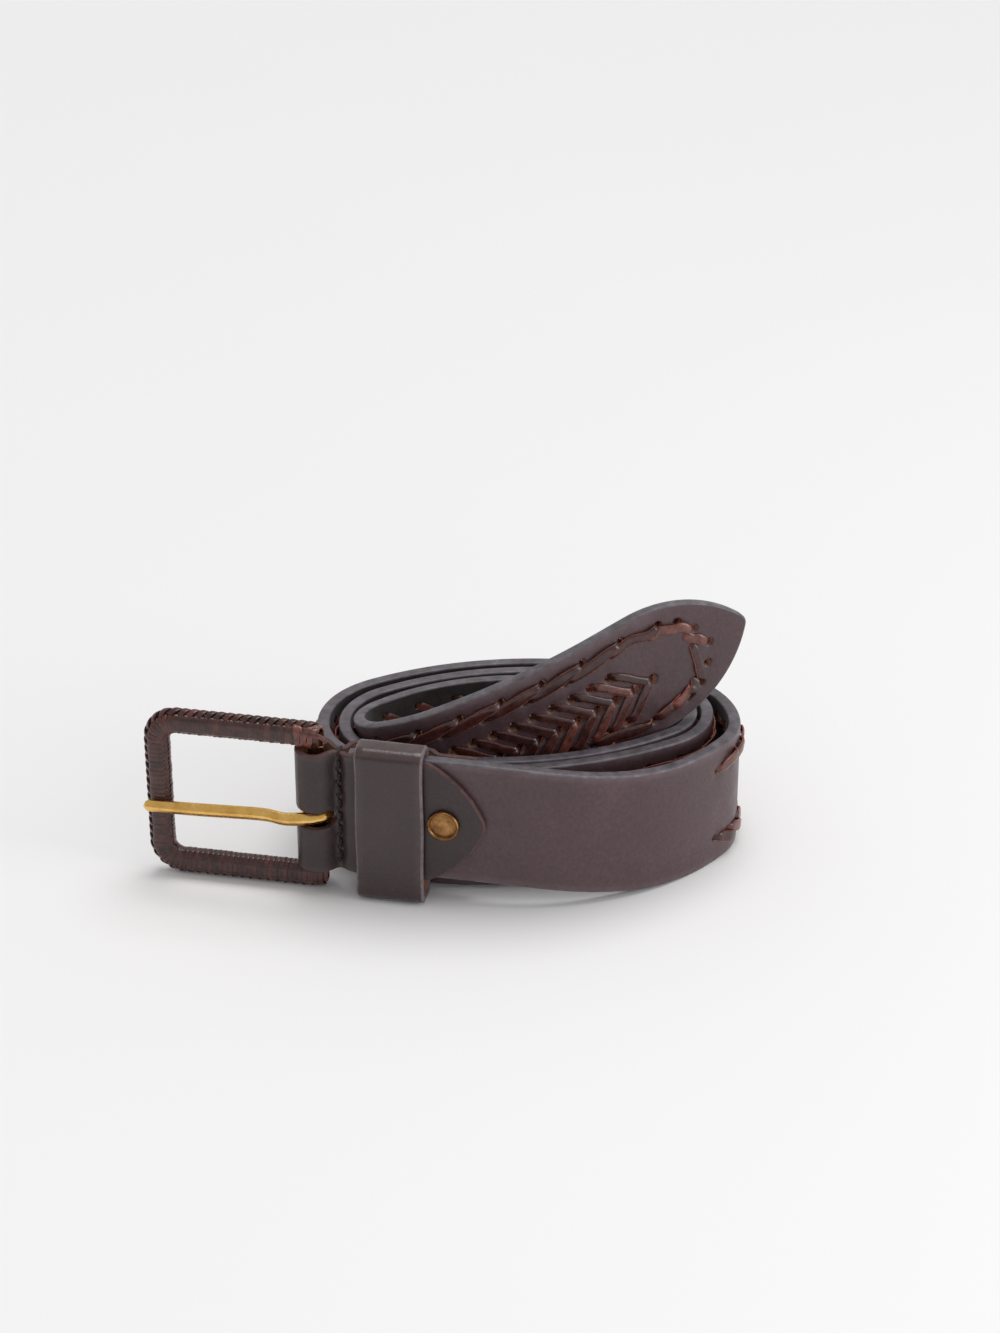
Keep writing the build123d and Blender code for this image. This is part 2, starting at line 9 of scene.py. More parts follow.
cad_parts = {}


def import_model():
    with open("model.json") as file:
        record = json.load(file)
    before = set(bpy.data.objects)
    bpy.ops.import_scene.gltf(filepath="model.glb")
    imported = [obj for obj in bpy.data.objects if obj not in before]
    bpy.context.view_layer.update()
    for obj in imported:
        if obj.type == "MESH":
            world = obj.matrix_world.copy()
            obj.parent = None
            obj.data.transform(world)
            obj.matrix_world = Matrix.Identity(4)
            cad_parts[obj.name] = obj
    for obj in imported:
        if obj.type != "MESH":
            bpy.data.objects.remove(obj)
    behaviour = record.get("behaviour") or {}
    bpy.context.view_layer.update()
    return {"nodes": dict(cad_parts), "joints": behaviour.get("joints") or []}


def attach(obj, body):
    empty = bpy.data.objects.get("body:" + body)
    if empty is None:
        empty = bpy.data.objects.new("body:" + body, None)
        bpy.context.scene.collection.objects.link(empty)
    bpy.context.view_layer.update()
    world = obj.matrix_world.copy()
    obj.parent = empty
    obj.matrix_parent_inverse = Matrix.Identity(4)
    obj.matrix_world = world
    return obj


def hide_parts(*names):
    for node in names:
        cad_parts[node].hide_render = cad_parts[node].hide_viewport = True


# A coiled leather belt. Lengths are in millimetres in the part's own drawing frame, with the
# same driving values as the CAD, and world() turns them into the row frame in metres.

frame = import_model()
random.seed(7)

# ---- driving values, as in the CAD --------------------------------------------------
strap_width = 38.0
strap_thickness = 3.5
buckle_end_lift = 7.9
front_yaw = 11.5
front_run = 43.2
front_bend_radius = 86.0
lift_from = -18.0
lift_to = 46.0
front_points = [(-2.0, -36.6), (-16.0, -24.5), (-12.0, -19.7)]
right_points = [(58.35, 4.0), (50.75, 9.5), (46.1, 9.5)]
rear_points = [(0.0, 40.2), (0.0, 34.8), (-2.0, 29.4)]
left_points = [(-60.95, 3.8), (-54.75, 3.3)]
right_front_radius = [20.0, 21.0, 15.0]
right_rear_radius = [31.0, 18.5, 14.0]
left_rear_radius = [27.0, 22.0]
left_front_radius = [24.5, 20.5]
bend_lean = 10.95
last_left = (-45.2, 2.0)
last_front = (-22.0, -13.8)
last_radius = 14.0
tip_bend_radius = 130.0
tip_bend_angle = 22.1
tip_run = 44.4
tip_length = 46.0
tip_half_angle = 60.0
tip_nose_radius = 3.0
belt_hole = 5.0
belt_hole_count = 5
belt_hole_pitch = 25.4
first_belt_hole = 118.0
chevron_count = 11
chevron_pitch = 6.1
chevron_rows = [5.4, -2.0, -10.4]
chevron_lean = [11.6, 0.0, 11.6]
chevron_start = 32.7
chevron_hole = 2.8
leather_thin = 1.8
fold_radius = 5.1
seam_run = 7.0
sandwich_start = 10.2
keeper_start = 12.2
keeper_width = 19.7
keeper_wall = 1.8
keeper_height = 48.7
keeper_bottom = 0.3
keeper_corner = 3.2
rivet_place = 37.4
tongue_start = 33.0
tongue_side = (43.4, 10.8)
tongue_end = 49.6
back_leaf_end = 45.6
fold_opening = 60.0
slot_height = 5.4
slot_end = 5.9
seam_stitches = 8
seam_margin = 2.0
buckle_height = 53.6
buckle_length = 53.4
bar_diameter = 4.4
core_width = 4.6
core_depth = 3.6
wrap_build = 0.9
ridge_height = 1.1
buckle_corner = 10.0
prong_length = 50.2
prong_drop = 2.2
prong_dip = 1.5  # the prong's tip hangs this much lower than its eye
prong_width = 4.0
prong_depth = 2.5
prong_clear = 0.15

half_thickness = strap_thickness / 2
half_width = strap_width / 2
middle_height = buckle_end_lift + half_width
edge_round = 0.55


# ---- the strap's route, as in the CAD -----------------------------------------------
def quarter(flat, steep, radius, to_steep):
    """Two tangent arcs between a front or rear point and the end of the oval, anticlockwise."""
    side = 1 if steep[0] > flat[0] else -1
    run = side * (steep[0] - flat[0]) - radius
    rise = side * (steep[1] - flat[1]) * (1 if to_steep else -1)
    large = (run**2 + rise**2 - radius**2) / (2 * (rise - radius))
    turn = degrees(atan2(run, large - rise))
    if to_steep:
        first = -90.0 if side > 0 else 90.0
        return [("arc", flat[0], flat[1] + side * large, large, first, turn),
                ("arc", steep[0] - side * radius, steep[1], radius, first + turn, 90.0 - turn)]
    first = 0.0 if side > 0 else 180.0
    return [("arc", steep[0] - side * radius, steep[1], radius, first, 90.0 - turn),
            ("arc", flat[0], flat[1] - side * large, large, first + 90.0 - turn, turn)]


def piece_length(piece):
    return piece[4] if piece[0] == "line" else piece[3] * radians(piece[5])


def piece_point(piece, along):
    if piece[0] == "line":
        heading = radians(piece[3])
        return piece[1] + along * cos(heading), piece[2] + along * sin(heading), heading
    angle = radians(piece[4]) + along / piece[3]
    return piece[1] + piece[3] * cos(angle), piece[2] + piece[3] * sin(angle), angle + pi / 2


def route_point(route, along):
    for piece in route[:-1]:
        if along <= piece_length(piece):
            return piece_point(piece, along)
        along -= piece_length(piece)
    return piece_point(route[-1], along)


yaw = radians(front_yaw)
front_bend = ("arc", front_points[0][0], front_points[0][1] + front_bend_radius,
              front_bend_radius, -90.0 - front_yaw, front_yaw)
bend_x, bend_y = piece_point(front_bend, 0.0)[:2]
bar_x = bend_x - front_run * cos(yaw)
bar_y = bend_y + front_run * sin(yaw)
lifted_route = [("line", bar_x + sandwich_start * cos(yaw), bar_y - sandwich_start * sin(yaw),
                 -front_yaw, front_run - sandwich_start), front_bend]
lifted_route += quarter(front_points[0], right_points[0], right_front_radius[0], True)
coil_route = quarter(rear_points[0], right_points[0], right_rear_radius[0], False)
for turn in range(2):
    coil_route += quarter(rear_points[turn], left_points[turn], left_rear_radius[turn], True)
    coil_route += quarter(front_points[turn + 1], left_points[turn],
                          left_front_radius[turn], False)
    coil_route += quarter(front_points[turn + 1], right_points[turn + 1],
                          right_front_radius[turn + 1], True)
    coil_route += quarter(rear_points[turn + 1], right_points[turn + 1],
                          right_rear_radius[turn + 1], False)
tilted_route = quarter(rear_points[2], last_left, last_radius, True)
tilted_route += quarter(last_front, last_left, last_radius, False)
tilted_route.append(("arc", last_front[0], last_front[1] + tip_bend_radius,
                     tip_bend_radius, -90.0, tip_bend_angle))
tip_x, tip_y, tip_heading = piece_point(tilted_route[-1], piece_length(tilted_route[-1]))
lean = radians(bend_lean)
tilted_route.append(("line", tip_x, tip_y, degrees(tip_heading), tip_run / cos(lean)))
lifted_length = sum(piece_length(piece) for piece in lifted_route)
coil_length = sum(piece_length(piece) for piece in coil_route)
tilted_length = sum(piece_length(piece) for piece in tilted_route) / cos(lean)
strap_length = lifted_length + coil_length + tilted_length

swing = {joint["name"]: joint for joint in frame["joints"]}["buckle_swing"]
shift = Vector(swing["pos_m"]) - Vector((bar_x, bar_y, middle_height)) / 1000


def world(point):
    return Vector(point) / 1000 + shift


def clamp(value):
    return min(1.0, max(0.0, value))


def ease(value):
    value = clamp(value)
    return value * value * (3 - 2 * value)


def tilted_frame(along):
    """Origin, outward, up and forward directions of the leaning stretch."""
    x, y, heading = route_point(tilted_route, along * cos(lean))
    flat = Vector((cos(lean), 0, sin(lean)))
    ruling = Vector((-sin(lean), 0, cos(lean)))
    origin = (Vector((rear_points[2][0], y, half_width)) + flat * (x - rear_points[2][0])
              + ruling * (along * sin(lean)))
    forward = (flat * cos(heading) + Vector((0, sin(heading), 0))) * cos(lean)
    forward += ruling * sin(lean)
    outward = flat * sin(heading) - Vector((0, cos(heading), 0))
    return origin, outward, forward.cross(outward) * -1, forward


def strap_point(s, v, n):
    """Point on the strap: s from its blunt end, v up its width, n outwards from its middle."""
    if s < lifted_length:
        x, y, heading = route_point(lifted_route, s)
        lift = buckle_end_lift * (1 - ease((x - lift_from) / (lift_to - lift_from)))
        return Vector((x + n * sin(heading), y - n * cos(heading), half_width + lift + v))
    if s < lifted_length + coil_length:
        x, y, heading = route_point(coil_route, s - lifted_length)
        return Vector((x + n * sin(heading), y - n * cos(heading), half_width + v))
    along = s - lifted_length - coil_length
    flat_from = tilted_length - tip_length
    origin, outward, up, forward = tilted_frame(min(along, flat_from))
    beyond = max(0.0, along - flat_from)
    return origin + outward * n + up * v + forward * beyond


def back_point(back, v, n):
    """The same, measured back from the strap's pointed end."""
    return strap_point(strap_length - back, v, n)


along_front = Vector((cos(yaw), -sin(yaw), 0))
outward_front = Vector((-sin(yaw), -cos(yaw), 0))
up_axis = Vector((0, 0, 1))
bar_middle = Vector((bar_x, bar_y, middle_height))


def front_point(along, outward, up):
    """Point in the buckle end's frame, from the middle of the bar."""
    return bar_middle + along_front * along + outward_front * outward + up_axis * up


# ---- meshes -------------------------------------------------------------------------
class Shape:
    """Points in millimetres and faces that each know their material's place in the list."""

    def __init__(self):
        self.points = []
        self.faces = []
        self.kinds = []
        self.tints = []

    def add(self, points, tint=0.5):
        first = len(self.points)
        self.points += points
        self.tints += [tint] * len(points)
        return first

    def face(self, corners, kind=0):
        self.faces.append(corners)
        self.kinds.append(kind)

    def skin(self, first, rows, kinds, closed=False):
        """Faces between neighbouring rows of points. kinds has one material for each side."""
        size = len(kinds)
        for row in range(rows if closed else rows - 1):
            near = first + row * size
            far = first + (row + 1) % rows * size
            for side in range(size):
                after = (side + 1) % size
                self.face((near + side, near + after, far + after, far + side), kinds[side])

    def caps(self, first, rows, size, kind=0):
        """Faces that close the first and the last row."""
        last = first + (rows - 1) * size
        self.face([first + side for side in range(size)][::-1], kind)
        self.face([last + side for side in range(size)], kind)


def make_piece(shape, name, body, materials, replaced=(), sharp=40.0):
    mesh = bpy.data.meshes.new(name)
    mesh.from_pydata([world(point) for point in shape.points], [], shape.faces)
    mesh.polygons.foreach_set("material_index", shape.kinds)
    tint = mesh.attributes.new("tint", "FLOAT", "POINT")
    tint.data.foreach_set("value", shape.tints)
    for material in materials:
        mesh.materials.append(material)
    work = bmesh.new()
    work.from_mesh(mesh)
    bmesh.ops.recalc_face_normals(work, faces=work.faces)
    work.to_mesh(mesh)
    work.free()
    mesh.shade_smooth()
    mesh.set_sharp_from_angle(angle=radians(sharp))
    piece = bpy.data.objects.new(name, mesh)
    bpy.context.scene.collection.objects.link(piece)
    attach(piece, body)
    if replaced:
        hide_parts(*replaced)
    return piece


FLAT_SECTION = [(-0.5, -0.2), (-0.5, 0.2), (-0.43, 0.4), (-0.22, 0.5), (0.22, 0.5),
                (0.43, 0.4), (0.5, 0.2), (0.5, -0.2), (0.38, -0.5), (-0.38, -0.5)]
FLAT_KINDS = [1, 1, 0, 0, 0, 0, 1, 1, 0, 0]  # the cut sides are the second material


def ribbon(shape, points, normals, width, thickness, roll=None, taper=1.0, taper_from=0.16,
           tint=None):
    """A flat lace along a path. Its cut sides are the second material."""
    count = len(points)
    if tint is None:
        tint = random.random()
    first = len(shape.points)
    for step, (point, normal) in enumerate(zip(points, normals)):
        ahead = points[min(step + 1, count - 1)] - points[max(step - 1, 0)]
        across = normal.cross(ahead).normalized()
        facing = ahead.cross(across).normalized()
        part = step / (count - 1)
        if roll:
            angle = roll(part)
            across, facing = (across * cos(angle) + facing * sin(angle),
                              facing * cos(angle) - across * sin(angle))
        near_end = min(part, 1 - part) / taper_from
        scale = taper + (1 - taper) * ease(near_end)
        shape.add([point + across * (x * width * scale) + facing * (y * thickness)
                   for x, y in FLAT_SECTION], tint)
    shape.skin(first, count, FLAT_KINDS)
    shape.caps(first, count, len(FLAT_SECTION), 1)


def round_cord(shape, points, radius, sides):
    """A round strand along a path."""
    first = len(shape.points)
    guide = Vector((0.31, 0.2, 0.93))
    for step, point in enumerate(points):
        ahead = points[min(step + 1, len(points) - 1)] - points[max(step - 1, 0)]
        across = guide.cross(ahead).normalized()
        guide = ahead.cross(across).normalized()
        shape.add([point + across * (radius * cos(2 * pi * side / sides))
                   + guide * (radius * sin(2 * pi * side / sides))
                   for side in range(sides)])
    shape.skin(first, len(points), [0] * sides)
    shape.caps(first, len(points), sides)


def nose_outline(start, taper, centre, radius, nose, half, inset, step):
    """Outline of a strip with a pointed end, inset from its edge, with outward directions."""
    length = taper - start
    count = int(length / step)
    top = [(start + length * i / count, half - inset, 0.0, 1.0) for i in range(count + 1)]
    nose_x = centre[0] + sqrt((radius - nose) ** 2 - centre[1] ** 2)
    first = asin((half - centre[1]) / radius)
    last = atan2(-centre[1], nose_x - centre[0])
    arc_count = int(radius * (first - last) / step)
    for i in range(1, arc_count + 1):
        angle = first + (last - first) * i / arc_count
        top.append((centre[0] + (radius - inset) * cos(angle),
                    centre[1] + (radius - inset) * sin(angle), cos(angle), sin(angle)))
    nose_count = max(3, int(nose * last / step * 2))
    for i in range(1, nose_count + 1):
        angle = last * (1 - i / nose_count)
        top.append((nose_x + (nose - inset) * cos(angle), (nose - inset) * sin(angle),
                    cos(angle), sin(angle)))
    bottom = [(x, -y, dx, -dy) for x, y, dx, dy in top]
    return bottom[:-1] + top[::-1]


def hole_rim(long, radius):
    """Rim of a round hole, or of a slot whose straight sides are twice long."""
    if not long:
        return [(radius * cos(pi * k / 6), radius * sin(pi * k / 6), cos(pi * k / 6),
                 sin(pi * k / 6)) for k in range(12)]
    rim = []
    for side in (1, -1):
        for k in range(13):
            dx, dy = side * cos(pi * k / 12 - pi / 2), side * sin(pi * k / 12 - pi / 2)
            rim.append((side * long + radius * dx, radius * dy, dx, dy))
        steps = int(2 * long / 1.0)
        for k in range(1, steps):
            rim.append((side * long * (1 - 2 * k / steps), side * radius, 0.0, side))
    return rim


def sheet(shape, outline, rings, fill, thickness, inset, place, tint_at, ring_depth=0.45):
    """A sheet with rounded edges and holes. outline is counterclockwise (u, v, du, dv). rings are
    (u, v, radius), and a slot adds half the length of its straight sides. place(u, v, n) puts a
    point of the flat pattern into the drawing. Materials: 0 face, 1 edge, 2 back, 3 hole wall."""
    half = thickness / 2
    start, low, high = outline[0][0], outline[0][1], outline[-1][1]
    end_count = max(2, int((high - low) / 2.5))
    loop = [(start, low, -0.7, -0.7)] + outline[1:-1] + [(start, high, -0.7, 0.7)]
    loop += [(start, high + (low - high) * i / end_count, -1.0, 0.0)
             for i in range(1, end_count)]
    flat = [(u, v) for u, v, du, dv in loop]
    edges = [(i, (i + 1) % len(loop)) for i in range(len(loop))]
    ring_first = []
    ring_of = {}
    ring_size = []
    depth = [0.0] * len(loop)
    for number, (u, v, radius, *stretch) in enumerate(rings):
        ring_first.append(len(flat))
        rim = hole_rim(stretch[0] if stretch else 0.0, radius)
        ring_size.append(len(rim))
        for level, (out, sink) in enumerate(((0.0, ring_depth), (0.28, ring_depth * 0.3),
                                             (0.8, 0.0))):
            for side, (x, y, dx, dy) in enumerate(rim):
                if level == 0:
                    ring_of[len(flat)] = number
                    edges.append((len(flat), ring_first[-1] + (side + 1) % len(rim)))
                flat.append((u + x + out * dx, v + y + out * dy))
                depth.append(sink)
    buckets = {}
    for u, v, radius, *stretch in rings:
        long = stretch[0] if stretch else 0.0
        for k in range(int((u - long) // 10) - 1, int((u + long) // 10) + 2):
            buckets.setdefault(k, []).append((u, v, radius, long))
    for u, v in fill:
        near = buckets.get(int(u // 10), [])
        if all(hypot(max(0.0, abs(u - a) - long), v - b) > radius + 1.2
               for a, b, radius, long in near):
            flat.append((u, v))
            depth.append(0.0)
    out = delaunay_2d_cdt([Vector(p) for p in flat], edges, [], 0, 1e-5)
    source = [ids[0] if ids else None for ids in out[3]]
    starts = []
    for way, dished in ((1, 1.0), (-1, 0.6)):
        starts.append(len(shape.points))
        for co, origin in zip(out[0], source):
            sink = depth[origin] * dished if origin is not None else 0.0
            shape.add([place(co.x, co.y, way * (half - sink))], tint_at(co.x, co.y))
    front, back = starts
    for triangle in out[2]:
        owners = [ring_of.get(source[i], -1) for i in triangle]
        if owners[0] >= 0 and owners[0] == owners[1] == owners[2]:
            continue
        shape.face([front + i for i in triangle], 0)
        shape.face([back + i for i in triangle[::-1]], 2)
    index = {origin: i for i, origin in enumerate(source) if origin is not None}
    for number in range(len(rings)):
        ring = [index[ring_first[number] + side] for side in range(ring_size[number])]
        for a, b in zip(ring, ring[1:] + ring[:1]):
            shape.face((front + a, front + b, back + b, back + a), 3)
    profile = [(inset * sin(radians(angle)), half - inset + inset * cos(radians(angle)))
               for angle in (22.5, 45.0, 67.5, 90.0)]
    profile += [(out_by, -n) for out_by, n in profile[::-1]]
    rows = [[front + index[i] for i in range(len(loop))]]
    for out_by, n in profile:
        first = len(shape.points)
        for u, v, du, dv in loop:
            shape.add([place(u + du * out_by, v + dv * out_by, n)], tint_at(u, v))
        rows.append([first + i for i in range(len(loop))])
    rows.append([back + index[i] for i in range(len(loop))])
    for upper, lower in zip(rows[:-1], rows[1:]):
        for i in range(len(loop)):
            j = (i + 1) % len(loop)
            shape.face((upper[i], upper[j], lower[j], lower[i]), 1)


# ---- materials ----------------------------------------------------------------------
def tone(red, green, blue):
    """A colour given as it looks on screen, 0 to 255."""
    return tuple(((c / 255 + 0.055) / 1.055) ** 2.4 if c > 10 else c / 3295
                 for c in (red, green, blue)) + (1.0,)


class Material:
    """A Principled material with the node chains that the leathers and metals share."""

    def __init__(self, name, roughness, metallic=0.0, specular=0.5, coat=0.0, coat_roughness=0.2,
                 sheen=0.0):
        self.data = bpy.data.materials.new(name)
        self.data.use_nodes = True
        self.nodes = self.data.node_tree.nodes
        self.links = self.data.node_tree.links
        self.shader = self.nodes["Principled BSDF"]
        for socket, value in (("Roughness", roughness), ("Metallic", metallic),
                              ("Specular IOR Level", specular), ("Coat Weight", coat),
                              ("Coat Roughness", coat_roughness), ("Sheen Weight", sheen)):
            self.shader.inputs[socket].default_value = value
        self.place = self.nodes.new("ShaderNodeTexCoord").outputs["Object"]
        self.height = None

    def noise(self, scale, detail=3.0, rough=0.55, stretch=None):
        source = self.place
        if stretch:
            mapping = self.nodes.new("ShaderNodeMapping")
            mapping.inputs["Scale"].default_value = stretch
            self.links.new(self.place, mapping.inputs["Vector"])
            source = mapping.outputs["Vector"]
        node = self.nodes.new("ShaderNodeTexNoise")
        node.inputs["Scale"].default_value = scale
        node.inputs["Detail"].default_value = detail
        node.inputs["Roughness"].default_value = rough
        self.links.new(source, node.inputs["Vector"])
        return node.outputs["Fac"]

    def cells(self, scale):
        node = self.nodes.new("ShaderNodeTexVoronoi")
        node.inputs["Scale"].default_value = scale
        self.links.new(self.place, node.inputs["Vector"])
        return node.outputs["Distance"]

    def attribute(self, name):
        node = self.nodes.new("ShaderNodeAttribute")
        node.attribute_name = name
        return node.outputs["Fac"]

    def ramp(self, value, *stops):
        node = self.nodes.new("ShaderNodeValToRGB")
        ramp = node.color_ramp
        while len(ramp.elements) < len(stops):
            ramp.elements.new(0.5)
        for element, (place, colour) in zip(ramp.elements, stops):
            element.position = place
            element.color = colour
        self.links.new(value, node.inputs["Fac"])
        return node.outputs["Color"]

    def clouds(self, scale, detail, rough, *stops):
        """Noise that runs through screen colours, given as (place, red, green, blue)."""
        noise = self.noise(scale, detail, rough)
        return self.ramp(noise, *((place, tone(*colour)) for place, *colour in stops))

    def grey(self, value, low, high, start=0.3, end=0.7):
        return self.ramp(value, (start, (low, low, low, 1)), (end, (high, high, high, 1)))

    def mix(self, first, second, factor, kind="MIX"):
        node = self.nodes.new("ShaderNodeMix")
        node.data_type = "RGBA"
        node.blend_type = kind
        for socket, value in ((node.inputs[0], factor), (node.inputs[6], first),
                              (node.inputs[7], second)):
            if isinstance(value, (int, float, tuple)):
                socket.default_value = value
            else:
                self.links.new(value, socket)
        return node.outputs[2]

    def bump(self, height, depth, strength=1.0):
        node = self.nodes.new("ShaderNodeBump")
        node.inputs["Strength"].default_value = strength
        node.inputs["Distance"].default_value = depth / 1000
        self.links.new(height, node.inputs["Height"])
        if self.height:
            self.links.new(self.height, node.inputs["Normal"])
        self.height = node.outputs["Normal"]

    def finish(self, colour, roughness=None):
        self.links.new(colour, self.shader.inputs["Base Color"])
        if roughness is not None:
            self.links.new(roughness, self.shader.inputs["Roughness"])
        if self.height:
            self.links.new(self.height, self.shader.inputs["Normal"])
        return self.data


LEATHER_GRAIN = 0.035  # depth of the pores


def smooth_leather(name, dark, middle, light, edge, gloss=(0.36, 0.5, 0.12)):
    """Dyed leather: cloudy colour, fine pores and creases. tint blends in the lighter edge colour
    as a patchy painted highlight.
    """
    smoothest, roughest, coat = gloss
    mat = Material(name, 0.4, specular=0.45, coat=coat, coat_roughness=0.22)
    clouds = mat.ramp(mat.noise(38, 5, 0.6), (0.28, dark), (0.52, middle), (0.8, light))
    specks = mat.grey(mat.noise(900, 2, 0.5), 0.82, 1.12)
    colour = mat.mix(clouds, specks, 1.0, "MULTIPLY")
    # painted highlight: where tint is above 0.5 the colour blends towards the lighter edge colour,
    # broken up by noise
    painted_sheen_mask = mat.grey(mat.attribute("tint"), 0.0, 1.0, 0.5, 1.0)
    patchy_painted_sheen = mat.mix(painted_sheen_mask, mat.grey(mat.noise(260, 4, 0.6), 0.35, 1.0), 1.0, "MULTIPLY")
    colour = mat.mix(colour, edge, patchy_painted_sheen)
    mat.bump(mat.cells(1500), LEATHER_GRAIN)
    mat.bump(mat.noise(420, 4, 0.65), LEATHER_GRAIN * 2.2, 0.7)
    mat.bump(mat.noise(90, 3, 0.5), 0.16, 0.5)
    return mat.finish(colour, mat.grey(mat.noise(120, 4, 0.6), smoothest, roughest))


def strap_face():
    # the last colour is the painted highlight along the strap's edges
    return smooth_leather("strap_face", tone(70, 50, 53), tone(76, 55, 58), tone(83, 61, 64),
                          tone(104, 86, 91))


def strap_edge():
    mat = Material("strap_edge", 0.42, coat=0.1, coat_roughness=0.3)
    colour = mat.clouds(300, 4, 0.6, (0.25, 66, 60, 64), (0.55, 96, 90, 96),
                        (0.85, 126, 120, 128))
    streaks = mat.grey(mat.noise(160, 3, 0.6, (1, 1, 9)), 0.8, 1.1)
    mat.bump(mat.noise(500, 4, 0.6), 0.07)
    return mat.finish(mat.mix(colour, streaks, 1.0, "MULTIPLY"),
                      mat.grey(mat.noise(200), 0.36, 0.55))


def burnished_edge():
    mat = Material("keeper_edge", 0.5, specular=0.4)
    colour = mat.clouds(420, 5, 0.65, (0.25, 84, 72, 76), (0.6, 116, 104, 108),
                        (0.85, 140, 128, 132))
    mat.bump(mat.noise(700, 4, 0.6), 0.08)
    return mat.finish(colour)


def napped_back():
    mat = Material("strap_back", 0.8, specular=0.25, sheen=0.12)
    colour = mat.clouds(260, 6, 0.7, (0.25, 38, 32, 33), (0.75, 66, 58, 59))
    mat.bump(mat.noise(1100, 4, 0.7), 0.12)
    mat.bump(mat.noise(200, 4, 0.6), 0.12, 0.6)
    return mat.finish(colour)


def flesh_side():
    mat = Material("flesh_side", 0.78, specular=0.3, sheen=0.08)
    colour = mat.clouds(330, 6, 0.7, (0.2, 128, 84, 60), (0.5, 170, 118, 90),
                        (0.8, 198, 150, 120))
    mat.bump(mat.noise(900, 5, 0.75), 0.14)
    return mat.finish(colour)


def raw_edge():
    mat = Material("raw_edge", 0.6, specular=0.35)
    colour = mat.clouds(420, 5, 0.65, (0.25, 58, 42, 42), (0.6, 88, 62, 60), (0.85, 128, 94, 88))
    mat.bump(mat.noise(700, 4, 0.6), 0.1)
    return mat.finish(colour)


def lace_face():
    """Glossy lace, each stitch a little different."""
    mat = Material("lace_face", 0.3, specular=0.5, coat=0.22, coat_roughness=0.16)
    colour = mat.ramp(mat.attribute("tint"), (0.0, tone(62, 31, 28)), (0.5, tone(88, 48, 42)),
                      (1.0, tone(136, 80, 68)))
    mottle_and_sheen = mat.clouds(500, 4, 0.6, (0.35, 150, 138, 138), (0.7, 250, 240, 238))
    mat.bump(mat.noise(700, 4, 0.6), 0.06)
    return mat.finish(mat.mix(colour, mottle_and_sheen, 1.0, "MULTIPLY"),
                      mat.grey(mat.noise(260), 0.22, 0.42))


def lace_cut():
    mat = Material("lace_cut", 0.5)
    colour = mat.clouds(600, 4, 0.6, (0.3, 104, 48, 40), (0.7, 172, 94, 76))
    mat.bump(mat.noise(900, 3, 0.6), 0.06)
    return mat.finish(colour)


def waxed_thread():
    mat = Material("waxed_thread", 0.55, specular=0.4)
    colour = mat.clouds(1400, 3, 0.7, (0.35, 30, 24, 25), (0.62, 56, 42, 40), (0.78, 118, 84, 62))
    mat.bump(mat.noise(2200, 3, 0.6), 0.08)
    return mat.finish(colour)


def brass(name, dark, middle, light, rough=(0.2, 0.36), tarnish=0.0, scale=160.0):
    mat = Material(name, 0.28, metallic=1.0)
    colour = mat.ramp(mat.noise(scale, 5, 0.65), (0.25, dark), (0.5, middle), (0.8, light))
    scratches = mat.grey(mat.noise(900, 2, 0.5, (1, 1, 6)), 0.86, 1.05)
    colour = mat.mix(colour, scratches, 1.0, "MULTIPLY")
    mat.bump(mat.noise(420, 3, 0.5), 0.03 + tarnish * 0.08)
    return mat.finish(colour, mat.grey(mat.noise(240, 4, 0.6), *rough))


def plain_wire():
    mat = Material("plain_wire", 0.3, metallic=1.0)
    colour = mat.clouds(700, 3, 0.6, (0.3, 140, 136, 132), (0.7, 196, 192, 188))
    mat.bump(mat.noise(1500, 2, 0.5), 0.02)
    return mat.finish(colour)


def pale_floor():
    mat = Material("pale_floor", 0.9, specular=0.1)
    colour = mat.clouds(3, 2, 0.5, (0.0, 243, 242, 242), (1.0, 245, 244, 244))
    return mat.finish(colour)


FACE = strap_face()
EDGE = strap_edge()
BACK = napped_back()
FLESH = flesh_side()
KEEPER_EDGE = burnished_edge()
RAW = raw_edge()
LACE = [lace_face(), lace_cut()]
THREAD = waxed_thread()
# the last colour is the painted highlight along the chape's edges
CHAPE = smooth_leather("chape_face", tone(44, 30, 32), tone(50, 35, 36), tone(57, 41, 42),
                       tone(76, 62, 64))
# the last colour is the painted highlight on the keeper's top bend and edges
KEEPER = smooth_leather("keeper_face", tone(46, 28, 28), tone(52, 33, 33), tone(59, 39, 38),
                        tone(78, 62, 60), (0.24, 0.34, 0.35))
BRASS = brass("prong_brass", tone(206, 152, 76), tone(240, 190, 106), tone(250, 214, 140))
AGED = brass("rivet_brass", tone(96, 68, 42), tone(150, 108, 66), tone(190, 148, 98),
             (0.3, 0.5), 1.0, 420.0)
CORE = brass("core_metal", tone(58, 46, 38), tone(92, 72, 54), tone(150, 122, 92), (0.3, 0.5),
             0.6, 500.0)
WIRE = plain_wire()

# ---- holes and stitches, measured back from the strap's point ----------------------
edge_hole = 1.05  # radius of the holes that the lacing goes through
zone_coil = tilted_length - 20.0  # the lacing tightens once it is in the coil
zone_short = strap_length - 330.0  # short diagonal stitches along the outermost turn
lace_start = strap_length - 116.0
tip_holes = [(13.0, -0.5), (15.7, 6.1), (15.8, -6.3), (19.7, 10.6), (19.8, -11.1),
             (25.2, 12.9), (25.2, -13.4)]


def stitch_list():
    """(hole the stitch dives into, hole it rises from, heights of both) back from the point,
    and the reach of the running stitch behind it."""
    stitches = []
    back = 37.0
    while back < lace_start:
        if back < zone_coil:
            pitch, reach, rows, behind = 12.6, 19.6, (14.3, 11.2), 7.0
        elif back < zone_short:
            pitch, reach, rows, behind = 10.4, 16.9, (13.2, 12.2), 6.5
        else:
            pitch, reach, rows, behind = 6.4, 10.6, (14.2, 11.3), 4.2
        stitches.append((back, back + reach, rows, behind))
        back += pitch
    return stitches


